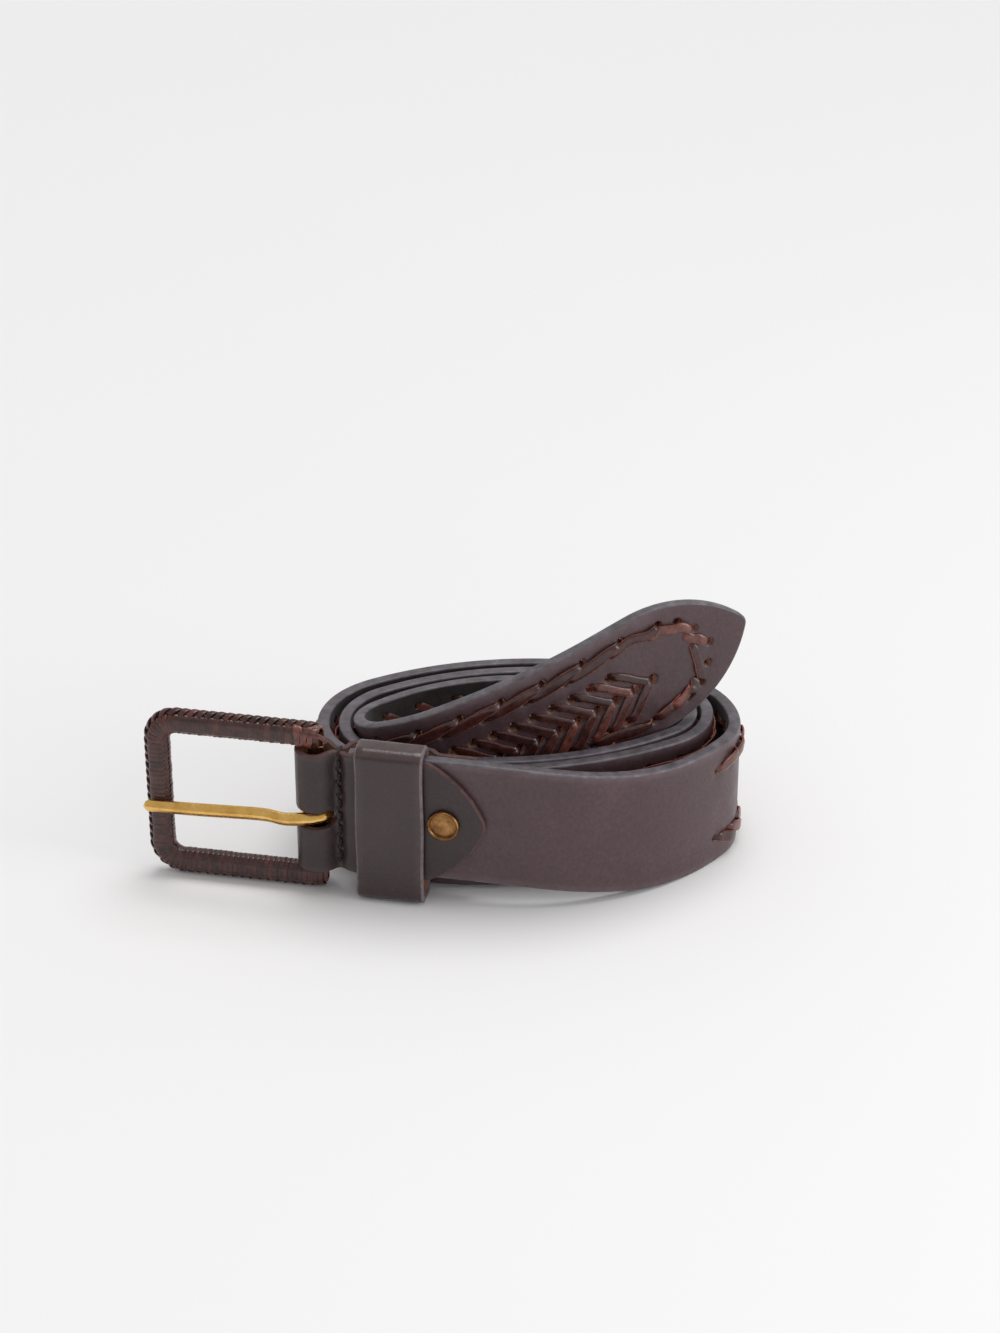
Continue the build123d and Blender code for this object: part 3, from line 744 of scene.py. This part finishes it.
stitches = stitch_list()
rings = [(strap_length - back, v, edge_hole) for back, v in tip_holes]
for dive, rise, rows, behind in stitches:
    for side in (1, -1):
        rings.append((strap_length - dive, side * rows[0], edge_hole))
        rings.append((strap_length - rise, side * rows[1], edge_hole))
for chevron in range(chevron_count):
    for row in range(3):
        back = chevron_start + chevron * chevron_pitch + chevron_lean[row]
        rings.append((strap_length - back, chevron_rows[row], chevron_hole / 2))
for hole in range(belt_hole_count):
    rings.append((strap_length - first_belt_hole - hole * belt_hole_pitch, 0.0, belt_hole / 2))


# ---- main strap ---------------------------------------------------------------------
def main_strap():
    radius = half_width / (1 - cos(radians(tip_half_angle)))
    taper = strap_length - tip_length + (tip_length - radius * sin(radians(tip_half_angle)))
    outline = nose_outline(0.0, taper, (taper, half_width - radius), radius, tip_nose_radius,
                           half_width, edge_round, 1.5)
    fill = []
    columns = int(taper / 1.5)
    for i in range(2, columns):
        fill += [(taper * i / columns, v) for v in (-16.4, -12.8, -6.0, 0.0, 6.0, 12.8, 16.4)]
    fill += [(taper + 4 * i, 4.0 * j) for i in range(1, 7) for j in range(-3, 4)
             if abs(4.0 * j) < sqrt(radius**2 - 16 * i * i) - radius + half_width - 3]

    # painted highlight: the tint rises over the last 3.5 mm towards each edge, so the face lightens
    # in a band along both edges
    def mottle_and_sheen(u, v):
        rim = clamp((abs(v) - 15.0) / 3.5)
        return 0.5 + 0.45 * rim * rim

    shape = Shape()
    sheet(shape, outline, rings, fill, strap_thickness, edge_round, strap_point, mottle_and_sheen)
    make_piece(shape, "strap", "belt", [FACE, EDGE, BACK, FLESH],
               ["main_strap"])


# ---- lacing -------------------------------------------------------------------------
edge_stitch = (3.4, 0.8)  # width and thickness of the lace in each run
back_stitch = (2.5, 0.7)
tip_stitch = (2.7, 0.75)
tip_turn = (2.2, 0.6)
chevron_stitch = (2.45, 0.72)
chevron_turn = (2.0, 0.55)


def surface_path(stops, count, crest):
    """Points and normals over the strap: stops are (back, v); crest(part) is the height."""
    points, normals = [], []
    for step in range(count + 1):
        part = step / count
        scaled = part * (len(stops) - 1)
        leg = min(int(scaled), len(stops) - 2)
        local = scaled - leg
        back = stops[leg][0] + (stops[leg + 1][0] - stops[leg][0]) * local
        v = stops[leg][1] + (stops[leg + 1][1] - stops[leg][1]) * ease(local)
        n = crest(part)
        points.append(back_point(back, v, n))
        normals.append((back_point(back, v, n + 0.5) - points[-1]).normalized())
    return points, normals


def inwards(normals):
    return [normal * -1 for normal in normals]


def over_and_in(length, low, high, climb=0.45, side=1.0):
    """Height profile of a stitch: out of its first hole, up over its neighbour, into the next."""
    sunk = 1.7  # depth of both ends in their holes
    slope = 2.1  # length of the way in and out

    def crest(part):
        run = part * length
        above = min(ease(run / slope), ease((length - run) / slope))
        body = low + (high - low) * ease((part - climb + 0.2) / 0.4)
        return side * (half_thickness - sunk + (sunk + body) * above)

    return crest


def lean_in(amount, turn=0.35):
    """The lace turns on edge a little as it goes into its hole."""
    def roll(part):
        return amount * turn * ease((part - 0.7) / 0.3) - amount * 0.12 * ease((0.3 - part) / 0.3)
    return roll


def edge_lacing():
    for side, name, node in ((1, "upper_edge_stitches", "upper_edge_lace"),
                             (-1, "lower_edge_stitches", "lower_edge_lace")):
        shape = Shape()
        for dive, rise, rows, behind in stitches:
            wobble = random.uniform(-0.12, 0.12)
            top = (dive, side * rows[0])
            bottom = (rise, side * rows[1])
            length = rise - dive
            points, normals = surface_path([bottom, top], max(14, int(length * 1.2)),
                                           over_and_in(length, 0.4, 1.15 + wobble))
            ribbon(shape, points, normals, edge_stitch[0] + wobble, edge_stitch[1],
                   lean_in(-side, 0.5), 0.52, 0.42)
        # running stitches on the back, from each dive to the rise nearest behind it
        for dive, rise, rows, behind in stitches:
            points, normals = surface_path([(dive, side * rows[0]),
                                            (dive + behind, side * rows[1])], 12,
                                           over_and_in(behind, 0.5, 0.55, 0.5, -1.0))
            # these take the lightest lace tone, painted light on stitches that lie in shade
            ribbon(shape, points, inwards(normals), *back_stitch, None, 0.85, 0.2, 1.0)
        make_piece(shape, name, "belt", LACE, [node])


def tip_lacing():
    shape = Shape()
    # (back, v) of each stitch, its height at both ends and at its crest, and the way it leans
    routes = [
        ([(44.0, 11.6), (34.6, 13.4), (28.6, 12.2), (25.2, 12.9)], 0.4, 1.2, -1),
        ([(31.0, 10.9), (26.5, 11.4), (20.0, 9.3), (15.7, 6.1)], 0.4, 0.95, -1),
        ([(20.4, 6.5), (16.5, 3.0), (13.0, -0.5)], 0.3, 0.5, -1),
        ([(17.9, 2.6), (18.6, -5.0), (19.8, -11.1)], 0.3, 0.6, 1),
        ([(20.3, -7.4), (22.6, -11.0), (25.2, -13.4)], 0.4, 0.85, 1),
        ([(21.9, -10.2), (27.0, -12.2), (32.0, -13.6)], 0.5, 1.1, 1),
        ([(25.5, -11.6), (31.0, -12.9), (37.0, -14.1)], 0.4, 0.9, 1),
    ]
    for stops, low, high, turn in routes:
        length = sum(hypot(b[0] - a[0], b[1] - a[1]) for a, b in zip(stops, stops[1:]))
        points, normals = surface_path(stops, max(12, int(length * 1.3)),
                                       over_and_in(length, low, high))
        ribbon(shape, points, normals, *tip_stitch, lean_in(turn), 0.6, 0.22)
    # short turns on the back between the same holes
    for first, second in zip(tip_holes[1::2], tip_holes[3::2]):
        for side in (1, -1):
            points, normals = surface_path([(first[0], side * first[1]),
                                            (second[0], side * second[1])], 10,
                                           over_and_in(5.0, 0.38, 0.4, 0.5, -1.0))
            ribbon(shape, points, inwards(normals), *tip_turn, None, 0.7)
    make_piece(shape, "tip_stitches", "belt", LACE, ["tip_lace"])


def chevron_lacing():
    shape = Shape()
    for chevron in range(chevron_count):
        back = chevron_start + chevron * chevron_pitch
        middle = (back, chevron_rows[1])
        upper = (back + chevron_lean[0], chevron_rows[0])
        lower = (back + chevron_lean[2], chevron_rows[2])
        for start, low, high, turn in ((lower, 0.36, 0.62, 1), (upper, 0.4, 0.5, -1)):
            stops = [start, middle]
            length = hypot(start[0] - middle[0], start[1] - middle[1])
            points, normals = surface_path(stops, 20, over_and_in(length, low, high))
            ribbon(shape, points, normals, *chevron_stitch, lean_in(turn, 0.3), 0.7, 0.14)
        # the back shows a short upright turn between rows
        points, normals = surface_path([upper, (back + chevron_lean[2], chevron_rows[2])], 10,
                                       over_and_in(15.0, 0.38, 0.4, 0.5, -1.0))
        ribbon(shape, points, inwards(normals), *chevron_turn, None, 0.7)
    make_piece(shape, "chevron_stitches", "belt", LACE, ["chevron_lace"])


# ---- chape --------------------------------------------------------------------------
leaf_near = half_thickness + 0.05 + leather_thin / 2
pinch = leather_thin / 2 + 0.05
keeper_back = half_thickness + 0.3 + keeper_wall
keeper_front = leaf_near + leather_thin / 2 + 0.45 + keeper_wall
leaf_bulge = keeper_back + 0.45 + leather_thin / 2
fold_x = fold_radius * cos(radians(fold_opening))
fold_y = fold_radius * sin(radians(fold_opening))


def chape_spine():
    """Middle of the folded leather in the bar's frame, (along, outwards), from the tongue."""
    stops = [(tongue_end, leaf_near), (sandwich_start - 0.3, leaf_near),
             (seam_run + 0.9, pinch), (seam_run - 1.2, pinch), (fold_x, fold_y)]
    for step in range(1, 30):
        angle = radians(fold_opening + (360 - 2 * fold_opening) * step / 30)
        stops.append((fold_radius * cos(angle), fold_radius * sin(angle)))
    stops += [(fold_x, -fold_y), (seam_run - 1.2, -pinch), (seam_run + 1.2, -pinch),
              (sandwich_start - 0.4, -leaf_bulge), (keeper_start + keeper_width + 0.5, -leaf_bulge),
              (rivet_place - 3.0, -leaf_near), (back_leaf_end, -leaf_near)]
    fine = [Vector(stops[0])]
    spacing = 0.4
    for a, b in zip(stops, stops[1:]):
        a, b = Vector(a), Vector(b)
        count = max(1, round((b - a).length / spacing))
        fine += [a.lerp(b, i / count) for i in range(1, count + 1)]
    for _ in range(5):
        fine = [fine[0]] + [(a + b * 2 + c) / 4 for a, b, c in zip(fine, fine[1:], fine[2:])] \
            + [fine[-1]]
    lengths = [0.0]
    for a, b in zip(fine, fine[1:]):
        lengths.append(lengths[-1] + (b - a).length)
    return fine, lengths


spine, spine_length = chape_spine()


def spine_at(length):
    low, high = 0, len(spine) - 1
    while high - low > 1:
        middle = (low + high) // 2
        if spine_length[middle] <= length:
            low = middle
        else:
            high = middle
    part = (length - spine_length[low]) / (spine_length[high] - spine_length[low])
    ahead = (spine[min(high + 1, len(spine) - 1)] - spine[max(low - 1, 0)]).normalized()
    return spine[low].lerp(spine[high], part), ahead


def chape_point(u, v, n):
    """u from the back leaf's end to the tongue's point, n towards the face side."""
    place, ahead = spine_at(spine_length[-1] - u)
    face = Vector((-ahead.y, ahead.x)) * -1
    from_seam = abs(place.x - seam_run)
    valley = 0.0
    if from_seam > 1.0:
        ripple = cos(2 * pi * (v + half_width - seam_margin) / 8.5)
        valley = 0.16 * ripple * ease(1 - from_seam / 5.0)
    place = place + face * (n + valley)
    wave = 0.22 * sin(u * 0.55) * clamp(1 - abs(place.x - 4) / 12) * (v / half_width)
    return front_point(place.x, place.y, v + wave)


def circle_through(a, b, c):
    ax, ay, bx, by, cx, cy = *a, *b, *c
    d = 2 * (ax * (by - cy) + bx * (cy - ay) + cx * (ay - by))
    x = ((ax**2 + ay**2) * (by - cy) + (bx**2 + by**2) * (cy - ay)
         + (cx**2 + cy**2) * (ay - by)) / d
    y = ((ax**2 + ay**2) * (cx - bx) + (bx**2 + by**2) * (ax - cx)
         + (cx**2 + cy**2) * (bx - ax)) / d
    return x, y, hypot(ax - x, ay - y)


def slot_edges():
    """The slot's two ends in the flat pattern, one on each leaf."""
    inside = [length for length, place in zip(spine_length, spine) if place.x <= slot_end]
    return spine_length[-1] - max(inside), spine_length[-1] - min(inside)


def chape():
    total = spine_length[-1]
    offset = total - tongue_end
    centre_x, centre_y, radius = circle_through((tongue_start, half_width), tongue_side,
                                                (tongue_end, 0.0))
    outline = nose_outline(0.0, tongue_start + offset, (centre_x + offset, centre_y), radius,
                           fold_radius, half_width, 0.5, 1.0)
    fill = []
    for i in range(1, int(total / 0.9)):
        u = i * 0.9
        half = half_width
        if u > tongue_start + offset:
            half = sqrt(max(0.0, radius**2 - (u - centre_x - offset) ** 2)) + centre_y
        fill += [(u, half_width * k / 9) for k in range(-8, 9)
                 if abs(half_width * k / 9) < half - 1.2]
    low, high = slot_edges()
    slot = ((low + high) / 2, -prong_drop, slot_height / 2, (high - low - slot_height) / 2)
    shape = Shape()
    # the tint paints a lighter highlight towards the chape's edges
    sheet(shape, outline, [(rivet_place + offset, 0.0, 1.5), slot], fill, leather_thin,
          0.5, chape_point, lambda u, v: 0.5 + 0.4 * clamp((abs(v) - 16.5) / 2.0), 0.15)
    make_piece(shape, "chape", "belt", [CHAPE, RAW, FLESH, RAW],
               ["buckle_chape"])


def seam_thread():
    """Saddle stitches down both faces, each of two strands twisted together."""
    shape = Shape()
    pitch = (strap_width - 2 * seam_margin) / seam_stitches
    stand = pinch + leather_thin / 2 + 0.22
    strand_radius, strand_sides = 0.3, 6
    for side in (1, -1):
        for stitch in range(seam_stitches):
            low = -half_width + seam_margin + stitch * pitch
            for strand in range(2):
                points = []
                for step in range(15):
                    part = step / 14
                    angle = 2 * pi * 2.0 * part + strand * pi
                    arch = stand + 0.16 * sin(pi * part) - 0.75 * (1 - ease(part * 7)) \
                        - 0.75 * (1 - ease((1 - part) * 7))
                    slant = 0.42 * sin(2 * pi * (part - 0.25)) * 0.5 + 0.5 * (part - 0.5)
                    points.append(front_point(seam_run + side * slant + 0.24 * cos(angle),
                                              side * (arch + 0.24 * sin(angle)),
                                              low + pitch * part))
                round_cord(shape, points, strand_radius, strand_sides)
    # the loop over the top edge
    for strand in range(2):
        points = []
        for step in range(25):
            part = step / 24
            angle = pi * part
            twist = 2 * pi * 3 * part + strand * pi
            reach = stand + 0.15 + 0.22 * cos(twist)
            height = half_width - seam_margin + (seam_margin + 0.25) * sin(angle) ** 0.6
            points.append(front_point(seam_run + 0.22 * sin(twist), reach * cos(angle), height))
        round_cord(shape, points, strand_radius, strand_sides)
    make_piece(shape, "seam_stitches", "belt", [THREAD], ["chape_thread"])


# ---- keeper -------------------------------------------------------------------------
def keeper():
    """A closed leather loop with rolled top and bottom, rounded along both edges."""
    depth = keeper_front + keeper_back
    centre_out = (keeper_front - keeper_back) / 2
    base = keeper_bottom - middle_height
    half_out = depth / 2 - keeper_wall / 2
    half_up = keeper_height / 2 - keeper_wall / 2
    corner = keeper_corner - keeper_wall / 2
    loop = []
    for quadrant, (su, sv) in enumerate(((1, 1), (-1, 1), (-1, -1), (1, -1))):
        for k in range(9):
            angle = radians(90 * quadrant + 90 * k / 8)
            loop.append((su * (half_out - corner) + corner * cos(angle),
                         sv * (half_up - corner) + corner * sin(angle), cos(angle), sin(angle)))
        span = 2 * (half_up - corner) if quadrant in (1, 3) else 2 * (half_out - corner)
        count = int(span / 1.2)
        last = loop[-1]
        for k in range(1, count):
            step = span * k / count
            dx, dy = -last[3], last[2]
            loop.append((last[0] + dx * step, last[1] + dy * step, last[2], last[3]))
    # across the leather: rounded edges and a face that swells slightly
    half = keeper_wall / 2
    rounding = 0.7
    flat = keeper_width / 2 - rounding
    section = []
    for way, face, angles in ((1, 0, (60, 30, 0, -30, -60)), (-1, 2, (-120, -150, 180, 150, 120))):
        section += [(way * k / 4 * flat, way * half, face) for k in range(-4, 5)]
        section += [(way * flat + rounding * cos(radians(angle)),
                     (half - 0.1) * sin(radians(angle)), 1) for angle in angles]
    shape = Shape()
    for x, y, dx, dy in loop:
        face = clamp(1 - (abs(y) / half_up) ** 4) * (1 if dx > 0.9 else 0)
        # painted highlight: the top bend gets a lighter tint, and so does a strip along each side
        # edge
        rolled = 0.9 if dy > 0.55 else 0.5
        for along, out, _ in section:
            swell = 0.3 * (1 - (2 * along / keeper_width) ** 2) * face
            flare = 0.12 * sin(0.22 * y + along * 0.15)
            reach = out + swell
            edge = 0.35 * clamp((abs(along) - keeper_width / 2 + 2.0) / 2.0)
            shape.add([front_point(keeper_start + keeper_width / 2 + along + flare * abs(dx),
                                   centre_out + x + dx * reach,
                                   base + keeper_height / 2 + y + dy * reach)],
                      min(1.0, rolled + edge))
    shape.skin(0, len(loop), [0] * 8 + [1] * 6 + [2] * 8 + [1] * 6, closed=True)
    make_piece(shape, "keeper", "keeper", [KEEPER, KEEPER_EDGE, FLESH],
               ["keeper_loop"])


# ---- buckle -------------------------------------------------------------------------
wrap_width = core_width + 2 * wrap_build
wrap_depth = core_depth + 2 * wrap_build
ring_right = wrap_width / 2
ring_left = ring_right - buckle_length + ridge_height
ring_height = buckle_height - 2 * ridge_height
line_left = ring_left + wrap_width / 2
line_up = ring_height / 2 - wrap_width / 2
line_corner = buckle_corner - ridge_height - wrap_width / 2
arm_short = 0.5  # the wound arms end this far inside the ring's right side
arm_run = ring_right - arm_short - line_left - line_corner
side_run = 2 * (line_up - line_corner)
bend_run = pi / 2 * line_corner
ring_run = 2 * arm_run + 2 * bend_run + side_run


def arm_turn(distance):
    """The two arms turn in towards the bar at their ends."""
    return 1.7 * (1 - sqrt(clamp(1 - (1 - clamp(distance / 5.0)) ** 2)))


def bend_at(angle, side):
    c, s = cos(angle), sin(angle)
    return (line_left + line_corner + line_corner * c,
            side * (line_up - line_corner) + line_corner * s, (c, s), True)


def ring_at(distance):
    """Middle line of the buckle's ring from the lower arm's end to the upper arm's:
    along, up, the way outwards, and whether it is a bend."""
    if distance < arm_run:
        return ring_right - arm_short - distance, arm_turn(distance) - line_up, (0, -1), False
    distance -= arm_run
    if distance < bend_run:
        return bend_at(-pi / 2 - distance / line_corner, -1)
    distance -= bend_run
    if distance < side_run:
        return line_left, -line_up + line_corner + distance, (-1, 0), False
    distance -= side_run
    if distance < bend_run:
        return bend_at(pi - distance / line_corner, 1)
    distance -= bend_run
    return (line_left + line_corner + distance, line_up - arm_turn(arm_run - distance), (0, 1),
            False)


def around(distance, angle, lift=0.0):
    """Point on the wound section at an angle, and the direction straight out of it."""
    along, up, outer, _ = ring_at(distance)
    from_end = max(0.0, min(distance, ring_run - distance))
    close = 0.62 + 0.38 * sqrt(clamp(1 - (1 - clamp(from_end / 3.0)) ** 2))
    half_in = (wrap_width / 2 - 0.28 + lift) * close
    half_deep = (wrap_depth / 2 - 0.28 + lift) * close
    power = 0.62
    c, s = cos(angle), sin(angle)
    x = half_in * abs(c) ** power * (1 if c > 0 else -1)
    z = half_deep * abs(s) ** power * (1 if s > 0 else -1)
    nx = abs(c) ** (2 - power) * (1 if c > 0 else -1) / half_in
    nz = abs(s) ** (2 - power) * (1 if s > 0 else -1) / half_deep
    size = hypot(nx, nz)
    nx, nz = nx / size, nz / size
    middle = front_point(along, 0, up)
    outward = along_front * outer[0] + up_axis * outer[1]
    return (middle + outward * x + outward_front * z, outward * nx + outward_front * nz)


def buckle_wraps():
    """One lace wound round and round the frame, its turns closer at the corners."""
    shape = Shape()
    distance = 0.3
    while distance < ring_run - 1.6:
        curved = ring_at(distance + 0.7)[-1]
        pitch = (1.12 if curved else 1.5) * random.uniform(0.94, 1.06)
        points, normals = [], []
        count = 30
        lift = random.uniform(-0.05, 0.08)
        for step in range(count + 1):
            angle = pi * 0.75 - 2 * pi * step / count
            tail = 0.35 * (1 - ease(step / 3)) + 0.35 * (1 - ease((count - step) / 3))
            point, normal = around(distance + pitch * step / count, angle, lift - tail)
            points.append(point)
            normals.append(normal)
        ribbon(shape, points, normals, 1.6 * pitch / 1.5 + 0.08, 0.5,
               lambda part: 0.1, 1.0, 0.16, random.uniform(0.15, 0.6))
        distance += pitch
    make_piece(shape, "buckle_wraps", "buckle", LACE, ["frame_wrap_lace"])


def buckle_ridge():
    """Half hitches locked in a raised line along the outside of the frame."""
    shape = Shape()
    distance = 1.0
    while distance < ring_run - 2.4:
        curved = ring_at(distance + 1.0)[-1]
        pitch = 1.9 if curved else 2.6
        swing = random.uniform(-0.15, 0.15)
        for way, reach, proud in ((1, 0.85, 0.95), (-1, 1.3, 0.35)):
            points, normals = [], []
            for step in range(13):
                part = step / 12
                here = distance + pitch * reach * part
                along, up, out, _ = ring_at(min(here, ring_run))
                outward = along_front * out[0] + up_axis * out[1]
                height = wrap_width / 2 - 0.15 + proud * sin(pi * part) ** 0.6
                across = way * (1.35 - 2.7 * part) * (1 + swing * 0.3)
                points.append(front_point(along, 0, up) + outward * height
                              + outward_front * (across - 0.1))
                normals.append((outward + outward_front * (across * 0.35)).normalized())
            ribbon(shape, points, normals, 1.9, 0.55, None, 0.75, 0.2,
                   random.uniform(0.0, 0.75))
        distance += pitch
    # the hitches lie so close that their cut sides don't show
    make_piece(shape, "buckle_ridge", "buckle", [LACE[0], LACE[0]],
               ["frame_ridge_braid"])


def corner_wraps():
    """Crossing turns that bind the end of the upper arm, and the lace's short tail."""
    shape = Shape()
    end = ring_run
    for start, reach in ((-7.5, 5.2), (-5.6, 4.8), (-3.4, -5.0), (-6.4, -2.0)):
        points, normals = [], []
        for step in range(25):
            part = step / 24
            angle = pi * 1.05 - pi * 1.25 * part
            place = end + start + reach * part
            point, normal = around(min(max(place, 0), end), angle, 0.42 - 0.8 * (
                (1 - ease(part * 6)) + (1 - ease((1 - part) * 6))))
            points.append(point)
            normals.append(normal)
        ribbon(shape, points, normals, 1.5, 0.5, None, 0.8, 0.15, 0.95)
    tail = [(-3.2, 3.1, line_up + 2.2), (-0.5, 3.3, line_up + 2.0), (2.2, 2.6, line_up + 1.2),
            (4.0, 2.2, line_up - 0.6)]
    points, normals = [], []
    for step in range(19):
        part = step / 18 * (len(tail) - 1)
        leg = min(int(part), len(tail) - 2)
        a, b = Vector(tail[leg]), Vector(tail[leg + 1])
        place = a.lerp(b, ease(part - leg) * 0.5 + (part - leg) * 0.5)
        points.append(front_point(*place))
        normals.append((outward_front + up_axis * 0.5).normalized())
    ribbon(shape, points, normals, 1.3, 0.45, None, 0.6, 0.3, 0.7)
    make_piece(shape, "corner_wraps", "buckle", LACE)


# ---- prong --------------------------------------------------------------------------
def prong():
    inner = bar_diameter / 2 + prong_clear
    middle = inner + prong_depth / 2
    rest = wrap_depth / 2 + 0.35 + prong_depth / 2
    stops = [(-prong_length, rest), (-prong_length + 8, rest - 0.05), (-36.0, rest + 0.05),
             (-24.0, rest + 0.1), (-17.0, rest + 0.15), (-13.0, rest + 0.5),
             (-9.8, rest + 0.95), (-6.5, rest + 0.7), (-3.2, middle + 0.75),
             (-0.8, middle + 0.15), (1.4, middle - 0.3)]
    tip_round = 2.0
    eye_step = 70  # the path is the prong's eye from here on
    eye_from_tip = 9.0  # and the eye is as thick as the prong is this far from its tip
    path = []
    for a, b, c, d in zip([stops[0]] + stops, stops, stops[1:], stops[2:] + [stops[-1]]):
        for k in range(8):
            t = k / 8
            path.append(tuple(0.5 * (2 * q + (r - p) * t + (2 * p - 5 * q + 4 * r - s) * t * t
                                     + (3 * q - p - 3 * r + s) * t**3)
                              for p, q, r, s in zip(a, b, c, d)))
    for k in range(25):
        angle = radians(65 - 275 * k / 24)
        path.append((middle * cos(angle), middle * sin(angle)))
    section = [(-0.5, -0.3), (-0.49, -0.04), (-0.42, 0.1), (-0.09, 0.48), (0.09, 0.48),
               (0.42, 0.1), (0.49, -0.04), (0.5, -0.3), (0.4, -0.48), (-0.4, -0.48)]
    shape = Shape()
    for step, (along, out) in enumerate(path):
        before, after = path[max(step - 1, 0)], path[min(step + 1, len(path) - 1)]
        dx, dy = after[0] - before[0], after[1] - before[1]
        run = hypot(dx, dy)
        nx, ny = -dy / run, dx / run
        from_tip = along + prong_length if step < eye_step else eye_from_tip
        end = sqrt(clamp(1 - ((tip_round - min(from_tip, tip_round)) / 2.02) ** 2))
        width = prong_width * (0.94 + 0.06 * ease((from_tip - 3) / 12)) * max(end, 0.08)
        deep = prong_depth * (0.82 + 0.18 * ease((from_tip - 2) / 8)) * max(end, 0.15)
        step_down = 0.6 * ease((along + 14.0) / 7.0) * ease((2.0 - along) / 3.0)
        height = -prong_drop - prong_dip * ease(-along / prong_length) - step_down
        shape.add([front_point(along + nx * y * deep, out + ny * y * deep, height + x * width)
                   for x, y in section])
    shape.skin(0, len(path), [0] * len(section))
    shape.caps(0, len(path), len(section))
    piece = make_piece(shape, "prong_bar", "prong", [BRASS], ["prong"], 50)
    round_off(piece, 0.28)


def round_off(piece, width):
    bevel = piece.modifiers.new("round", "BEVEL")
    bevel.width = width / 1000
    bevel.segments = 2
    bevel.limit_method = "ANGLE"
    bevel.angle_limit = radians(28)


# ---- rivet --------------------------------------------------------------------------
def rivet():
    profile = [(0.0, 1.12), (1.2, 1.1), (2.3, 1.04), (3.1, 0.92), (3.45, 0.74), (3.65, 0.72),
               (3.8, 0.95), (4.0, 1.3), (4.2, 1.42), (4.42, 1.32), (4.58, 1.0), (4.6, 0.6),
               (4.52, 0.2), (4.3, 0.02)]
    shape = Shape()
    start = leaf_near + leather_thin / 2 + 0.02
    turns = 56
    for radius, height in profile[1:]:
        for k in range(turns):
            angle = 2 * pi * k / turns
            dent = 0.05 * sin(3 * angle + radius) * cos(2 * angle) * clamp(radius / 4)
            shape.add([front_point(rivet_place + radius * cos(angle), start + height + dent,
                                   radius * sin(angle))])
    middle = shape.add([front_point(rivet_place, start + profile[0][1], 0)])
    base = shape.add([front_point(rivet_place, start, 0)])
    rows = len(profile) - 1
    for k in range(turns):
        j = (k + 1) % turns
        shape.face((middle, k, j))
        shape.face((base, (rows - 1) * turns + j, (rows - 1) * turns + k))
        for row in range(rows - 1):
            shape.face((row * turns + k, (row + 1) * turns + k, (row + 1) * turns + j,
                        row * turns + j))
    make_piece(shape, "rivet_head", "belt", [AGED], ["rivet_cap"])


# ---- assembly -----------------------------------------------------------------------
main_strap()
edge_lacing()
tip_lacing()
chevron_lacing()
chape()
seam_thread()
keeper()
buckle_wraps()
buckle_ridge()
corner_wraps()
prong()
rivet()
for node, material in (("rivet_post", AGED), ("keeper_staple", WIRE), ("buckle_frame", CORE)):
    data = frame["nodes"][node].data
    data.materials.clear()
    data.materials.append(material)

# ---- floor, light and camera --------------------------------------------------------
floor_shape = bmesh.new()
bmesh.ops.create_grid(floor_shape, x_segments=8, y_segments=8, size=4.0)
floor_mesh = bpy.data.meshes.new("floor")
floor_shape.to_mesh(floor_mesh)
floor_shape.free()
floor_mesh.materials.append(pale_floor())
floor = bpy.data.objects.new("floor", floor_mesh)
bpy.context.scene.collection.objects.link(floor)

scene = bpy.context.scene
scene.view_settings.view_transform = "Standard"
scene.view_settings.look = "None"
scene.world = bpy.data.worlds.new("studio")
scene.world.use_nodes = True
background = scene.world.node_tree.nodes["Background"]
background.inputs["Color"].default_value = (1.0, 1.0, 1.0, 1.0)
background.inputs["Strength"].default_value = 0.53


def area_light(name, place, target, size, power):
    light = bpy.data.lights.new(name, "AREA")
    light.shape = "RECTANGLE"
    light.size, light.size_y = size
    light.energy = power
    lamp = bpy.data.objects.new(name, light)
    lamp.location = place
    lamp.rotation_euler = (Vector(target) - Vector(place)).to_track_quat("-Z", "Y").to_euler()
    scene.collection.objects.link(lamp)


sun_direction = Vector((-0.16, -0.26, -1.0))  # from high on the right, behind the belt
sun = bpy.data.lights.new("window", "SUN")
sun.energy = 1.3
sun.angle = radians(42)  # wide, so the shadows are soft
sun_lamp = bpy.data.objects.new("window", sun)
sun_lamp.rotation_euler = sun_direction.to_track_quat("-Z", "Y").to_euler()
scene.collection.objects.link(sun_lamp)
area_light("soft_right", (1.0, -0.35, 0.35), (0.03, 0.0, 0.03), (0.5, 0.6), 4.0)

camera_place = (-9.735, -757.657, 460.153)
camera_tilt = 62  # degrees from straight down
camera_data = bpy.data.cameras.new("camera")
camera_data.lens = 81.0
camera_data.sensor_width = 36.0
camera = bpy.data.objects.new("camera", camera_data)
camera.location = world(camera_place)
camera.rotation_euler = (radians(camera_tilt), 0, 0)
scene.collection.objects.link(camera)
scene.camera = camera
